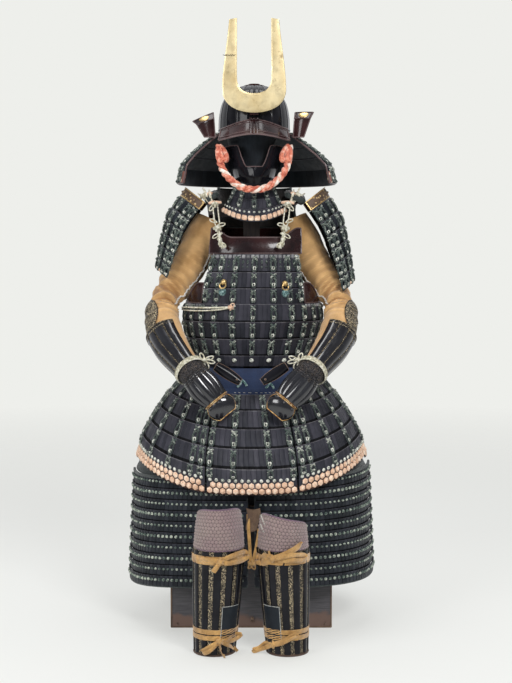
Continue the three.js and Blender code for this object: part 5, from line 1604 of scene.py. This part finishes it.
def build_middle_ties():
    """The flap and the tie between the two thigh guards."""
    face = lambda z: -THIGH(np.clip((432 - z) / 300, 0, 1)).front
    front = lambda x, z: (x, face(z) - 5.5, z)
    flap = Piece()
    columns, rows = np.meshgrid(spaced(13), spaced(17))
    x = mixed(-14, 24, columns) * mixed(1, 0.82, rows) + 3 * np.sin(rows * 5)
    z = mixed(353, 293, rows) - 5 * np.sin(columns * pi)
    bend = 1.6 * np.sin(columns * 9 + rows * 3)
    for depth, order in ((3.0, 1), (1.0, -1)):
        flap.grid(xyz(x, face(z) - 3.0 - depth - bend, z)[::order], 0)
    for points in ([(-8, 336), (-7, 300), (-4, 250), (-1, 210), (2, 200)],
                   [(22, 296), (18, 268), (12, 236), (5, 208), (2, 200)]):
        flap.tube(curve([front(*p) for p in points], 24), 4.4, 1, 8, flat=0.35, wide=(1, 0, 0.1))
    knot = np.array(front(2, 201))
    knotted(flap, knot + [0, -3, 0], 20, (0, -1, 0), 1)
    for tip in ((-9, -5, -12), (8, -5, -14), (14, -4, 6)):
        loop(flap, knot + [0, -4, 0], knot + np.array(tip), 7, 2.2, 1)
    flap.made("thigh_guard_ties", [WORN_BROWN, RIBBON], "ribbon")


def build_thigh_binding():
    for side, rise in THIGH_RISE.items():
        guard = thigh_surface(rise)
        binding = Piece()
        rim(binding, guard, spaced(61, 0.4, 83), 0.0, 4.2, 0, -0.6)
        rim(binding, guard, spaced(61, 0.4, 83), 1.0, 2.2, 0, -0.8)
        for turn in (0.4, 83):
            rim(binding, guard, turn, spaced(41), 2.4, 0, -0.6)
        binding.made(f"thigh_guard_{side}_binding", [BINDING], "navy_cloth", mirror=side == "right")


# ------------------------------------------------------------------ chest and stand

def build_chest():
    """The chest's edges, nails, lock boss and handles."""
    w, front, back, rim_height = 223, -214, 214, 455
    trim = Piece(0, 0)
    for z, out in ((2.3, 0), (345, 3.4), (rim_height, 3.4)):
        ring = [(-w - out, front - out, z), (w + out, front - out, z), (w + out, back + out, z),
                (-w - out, back + out, z)]
        corners = [mixed(np.array(a), np.array(b), s) for a, b in zip(ring, ring[1:] + ring[:1])
                   for s in spaced(9)[:-1]]
        trim.tube(corners, 2.2, 0, 6, closed=True, up=(0, 0, 1))
    wall = lambda y: Surface(lambda u, v: xyz(u, y, v), 0.5 if y < 0 else -0.5, -0.5)
    for x in (-w, w):
        for y in (front, back):
            trim.tube([(x, y, z) for z in spaced(9, 2, 398)], 2.4, 0, 6, up=(0, 1, 0))
            for z in (12.0, 380.0):
                stamped(trim, wall(y), DOT_KNOT, x - np.sign(x) * 17, z, 0.4, 0.7, 0.7)
    stamped(trim, wall(front), RING_BOSS, 3.0, 27, 0.6, 0.55, 0.55)
    stamped(trim, wall(front), RING, 3.0, 22, 1.6, 0.5, 0.5)
    for side in (-1, 1):
        x = side * (w + 0.2)
        handle = [(x + side * out, y, z) for out, y, z in ((1, -52, 318), (8, -48, 300), (9, -20, 290),
                                                           (9, 20, 290), (8, 48, 300), (1, 52, 318))]
        trim.tube(curve(handle, 25), 3.4, 1, 7, up=(0, 0, 1))
        for y in (-52, 52):
            trim.tube([(x - side * 1, y, 319), (x + side * 2.6, y, 319)], [9, 8], 1, 12, up=(0, 0, 1))
    trim.made("chest_trim", [WORN_BROWN, FITTING], "chest_wood")


for build in (build_chin_cord, build_side_tie, build_strap_cords, build_cuirass, build_cuirass_plates,
              build_collar, build_skirt, build_thigh_guards, build_apron, build_thigh_binding, build_bowl,
              build_peak, build_neck_guard, build_wings, build_crest, build_mask, build_throat_guard,
              build_head_form, build_shoulder_guards, build_sleeves, build_hands, build_sash, build_shins,
              build_middle_ties, build_chest):
    build()

# ------------------------------------------------------------------ remaining CAD nodes, floor and light

FINISH = {"brown_lacquer": BROWN, "chest_wood": CHEST, "stand_wood": WOOD}
for part in frame["record"]["subparts"]:
    node = frame["nodes"][part["node"]]
    if not node.hide_render:
        for own in node.material_slots:
            own.link = "OBJECT"
            own.material = FINISH[part["material_slot"]]


BACKDROP = (0.855, 0.863, 0.831, 1)
ROOM = (0.97, 0.98, 1.0, 1)
FLOOR_REACH = 9
# Each lamp: name, place, turn in degrees, size and power.
LAMPS = (("key", (1.5, -3.2, 3.2), (50, 0, 25), 1.3, 105),
         ("fill", (-2.4, -2.8, 2.0), (66, 0, -40), 1.6, 62),
         ("top", (0, 0.3, 3.7), (0, 0, 0), 1.8, 50))


def build_floor():
    """Pale paper that fades into the backdrop all round."""
    reach = FLOOR_REACH
    floor = bpy.data.meshes.new("floor")
    floor.from_pydata([(-reach, -reach, 0), (reach, -reach, 0), (reach, reach, 0), (-reach, reach, 0)], [],
                      [(0, 1, 2, 3)])
    made = bpy.data.objects.new("floor", floor)
    bpy.context.scene.collection.objects.link(made)
    paper = Paint("floor_paper", Roughness=0.9, Specular_IOR_Level=0.1)
    paper.set(Base_Color=paper.ramp(paper.noise(0.6, 2), (0.3, (0.32, 0.323, 0.316)),
                                    (0.7, (0.327, 0.33, 0.323))))
    paper.set(Emission_Color=BACKDROP, Emission_Strength=0.56)
    away = paper.node("ShaderNodeVectorMath", {0: paper.place}, operation="LENGTH").outputs["Value"]
    fade = {"Value": away, "From Min": 1.6, "From Max": 5.5, "To Min": 1.0, "To Max": 0.0}
    paper.set(Alpha=paper.node("ShaderNodeMapRange", fade).outputs[0])
    floor.materials.append(paper.material)


def build_backdrop():
    """A pale backdrop behind the armour, and a room that lights it: bright at the back and dim in front."""
    world = bpy.data.worlds.new("world")
    bpy.context.scene.world = world
    world.use_nodes = True
    nodes, links = world.node_tree.nodes, world.node_tree.links
    pale, room = nodes["Background"], nodes.new("ShaderNodeBackground")
    pale.inputs["Color"].default_value = BACKDROP
    room.inputs["Color"].default_value = ROOM
    split, level = nodes.new("ShaderNodeSeparateXYZ"), nodes.new("ShaderNodeMapRange")
    links.new(nodes.new("ShaderNodeTexCoord").outputs["Generated"], split.inputs[0])
    links.new(split.outputs["Y"], level.inputs["Value"])
    for socket, value in (("From Min", -0.2), ("From Max", 0.7), ("To Min", 0.22), ("To Max", 0.9)):
        level.inputs[socket].default_value = value
    links.new(level.outputs[0], room.inputs["Strength"])
    seen = nodes.new("ShaderNodeMixShader")
    links.new(nodes.new("ShaderNodeLightPath").outputs["Is Camera Ray"], seen.inputs[0])
    links.new(room.outputs[0], seen.inputs[1])
    links.new(pale.outputs[0], seen.inputs[2])
    links.new(seen.outputs[0], nodes["World Output"].inputs["Surface"])


def build_lamps():
    for name, place, turn, size, power in LAMPS:
        lamp = bpy.data.lights.new(name, "AREA")
        lamp.shape, lamp.size, lamp.energy = "SQUARE", size, power
        light = bpy.data.objects.new(name, lamp)
        light.location, light.rotation_euler = place, [radians(t) for t in turn]
        bpy.context.scene.collection.objects.link(light)


build_floor()
build_backdrop()
build_lamps()
bpy.context.scene.view_settings.view_transform = "Standard"
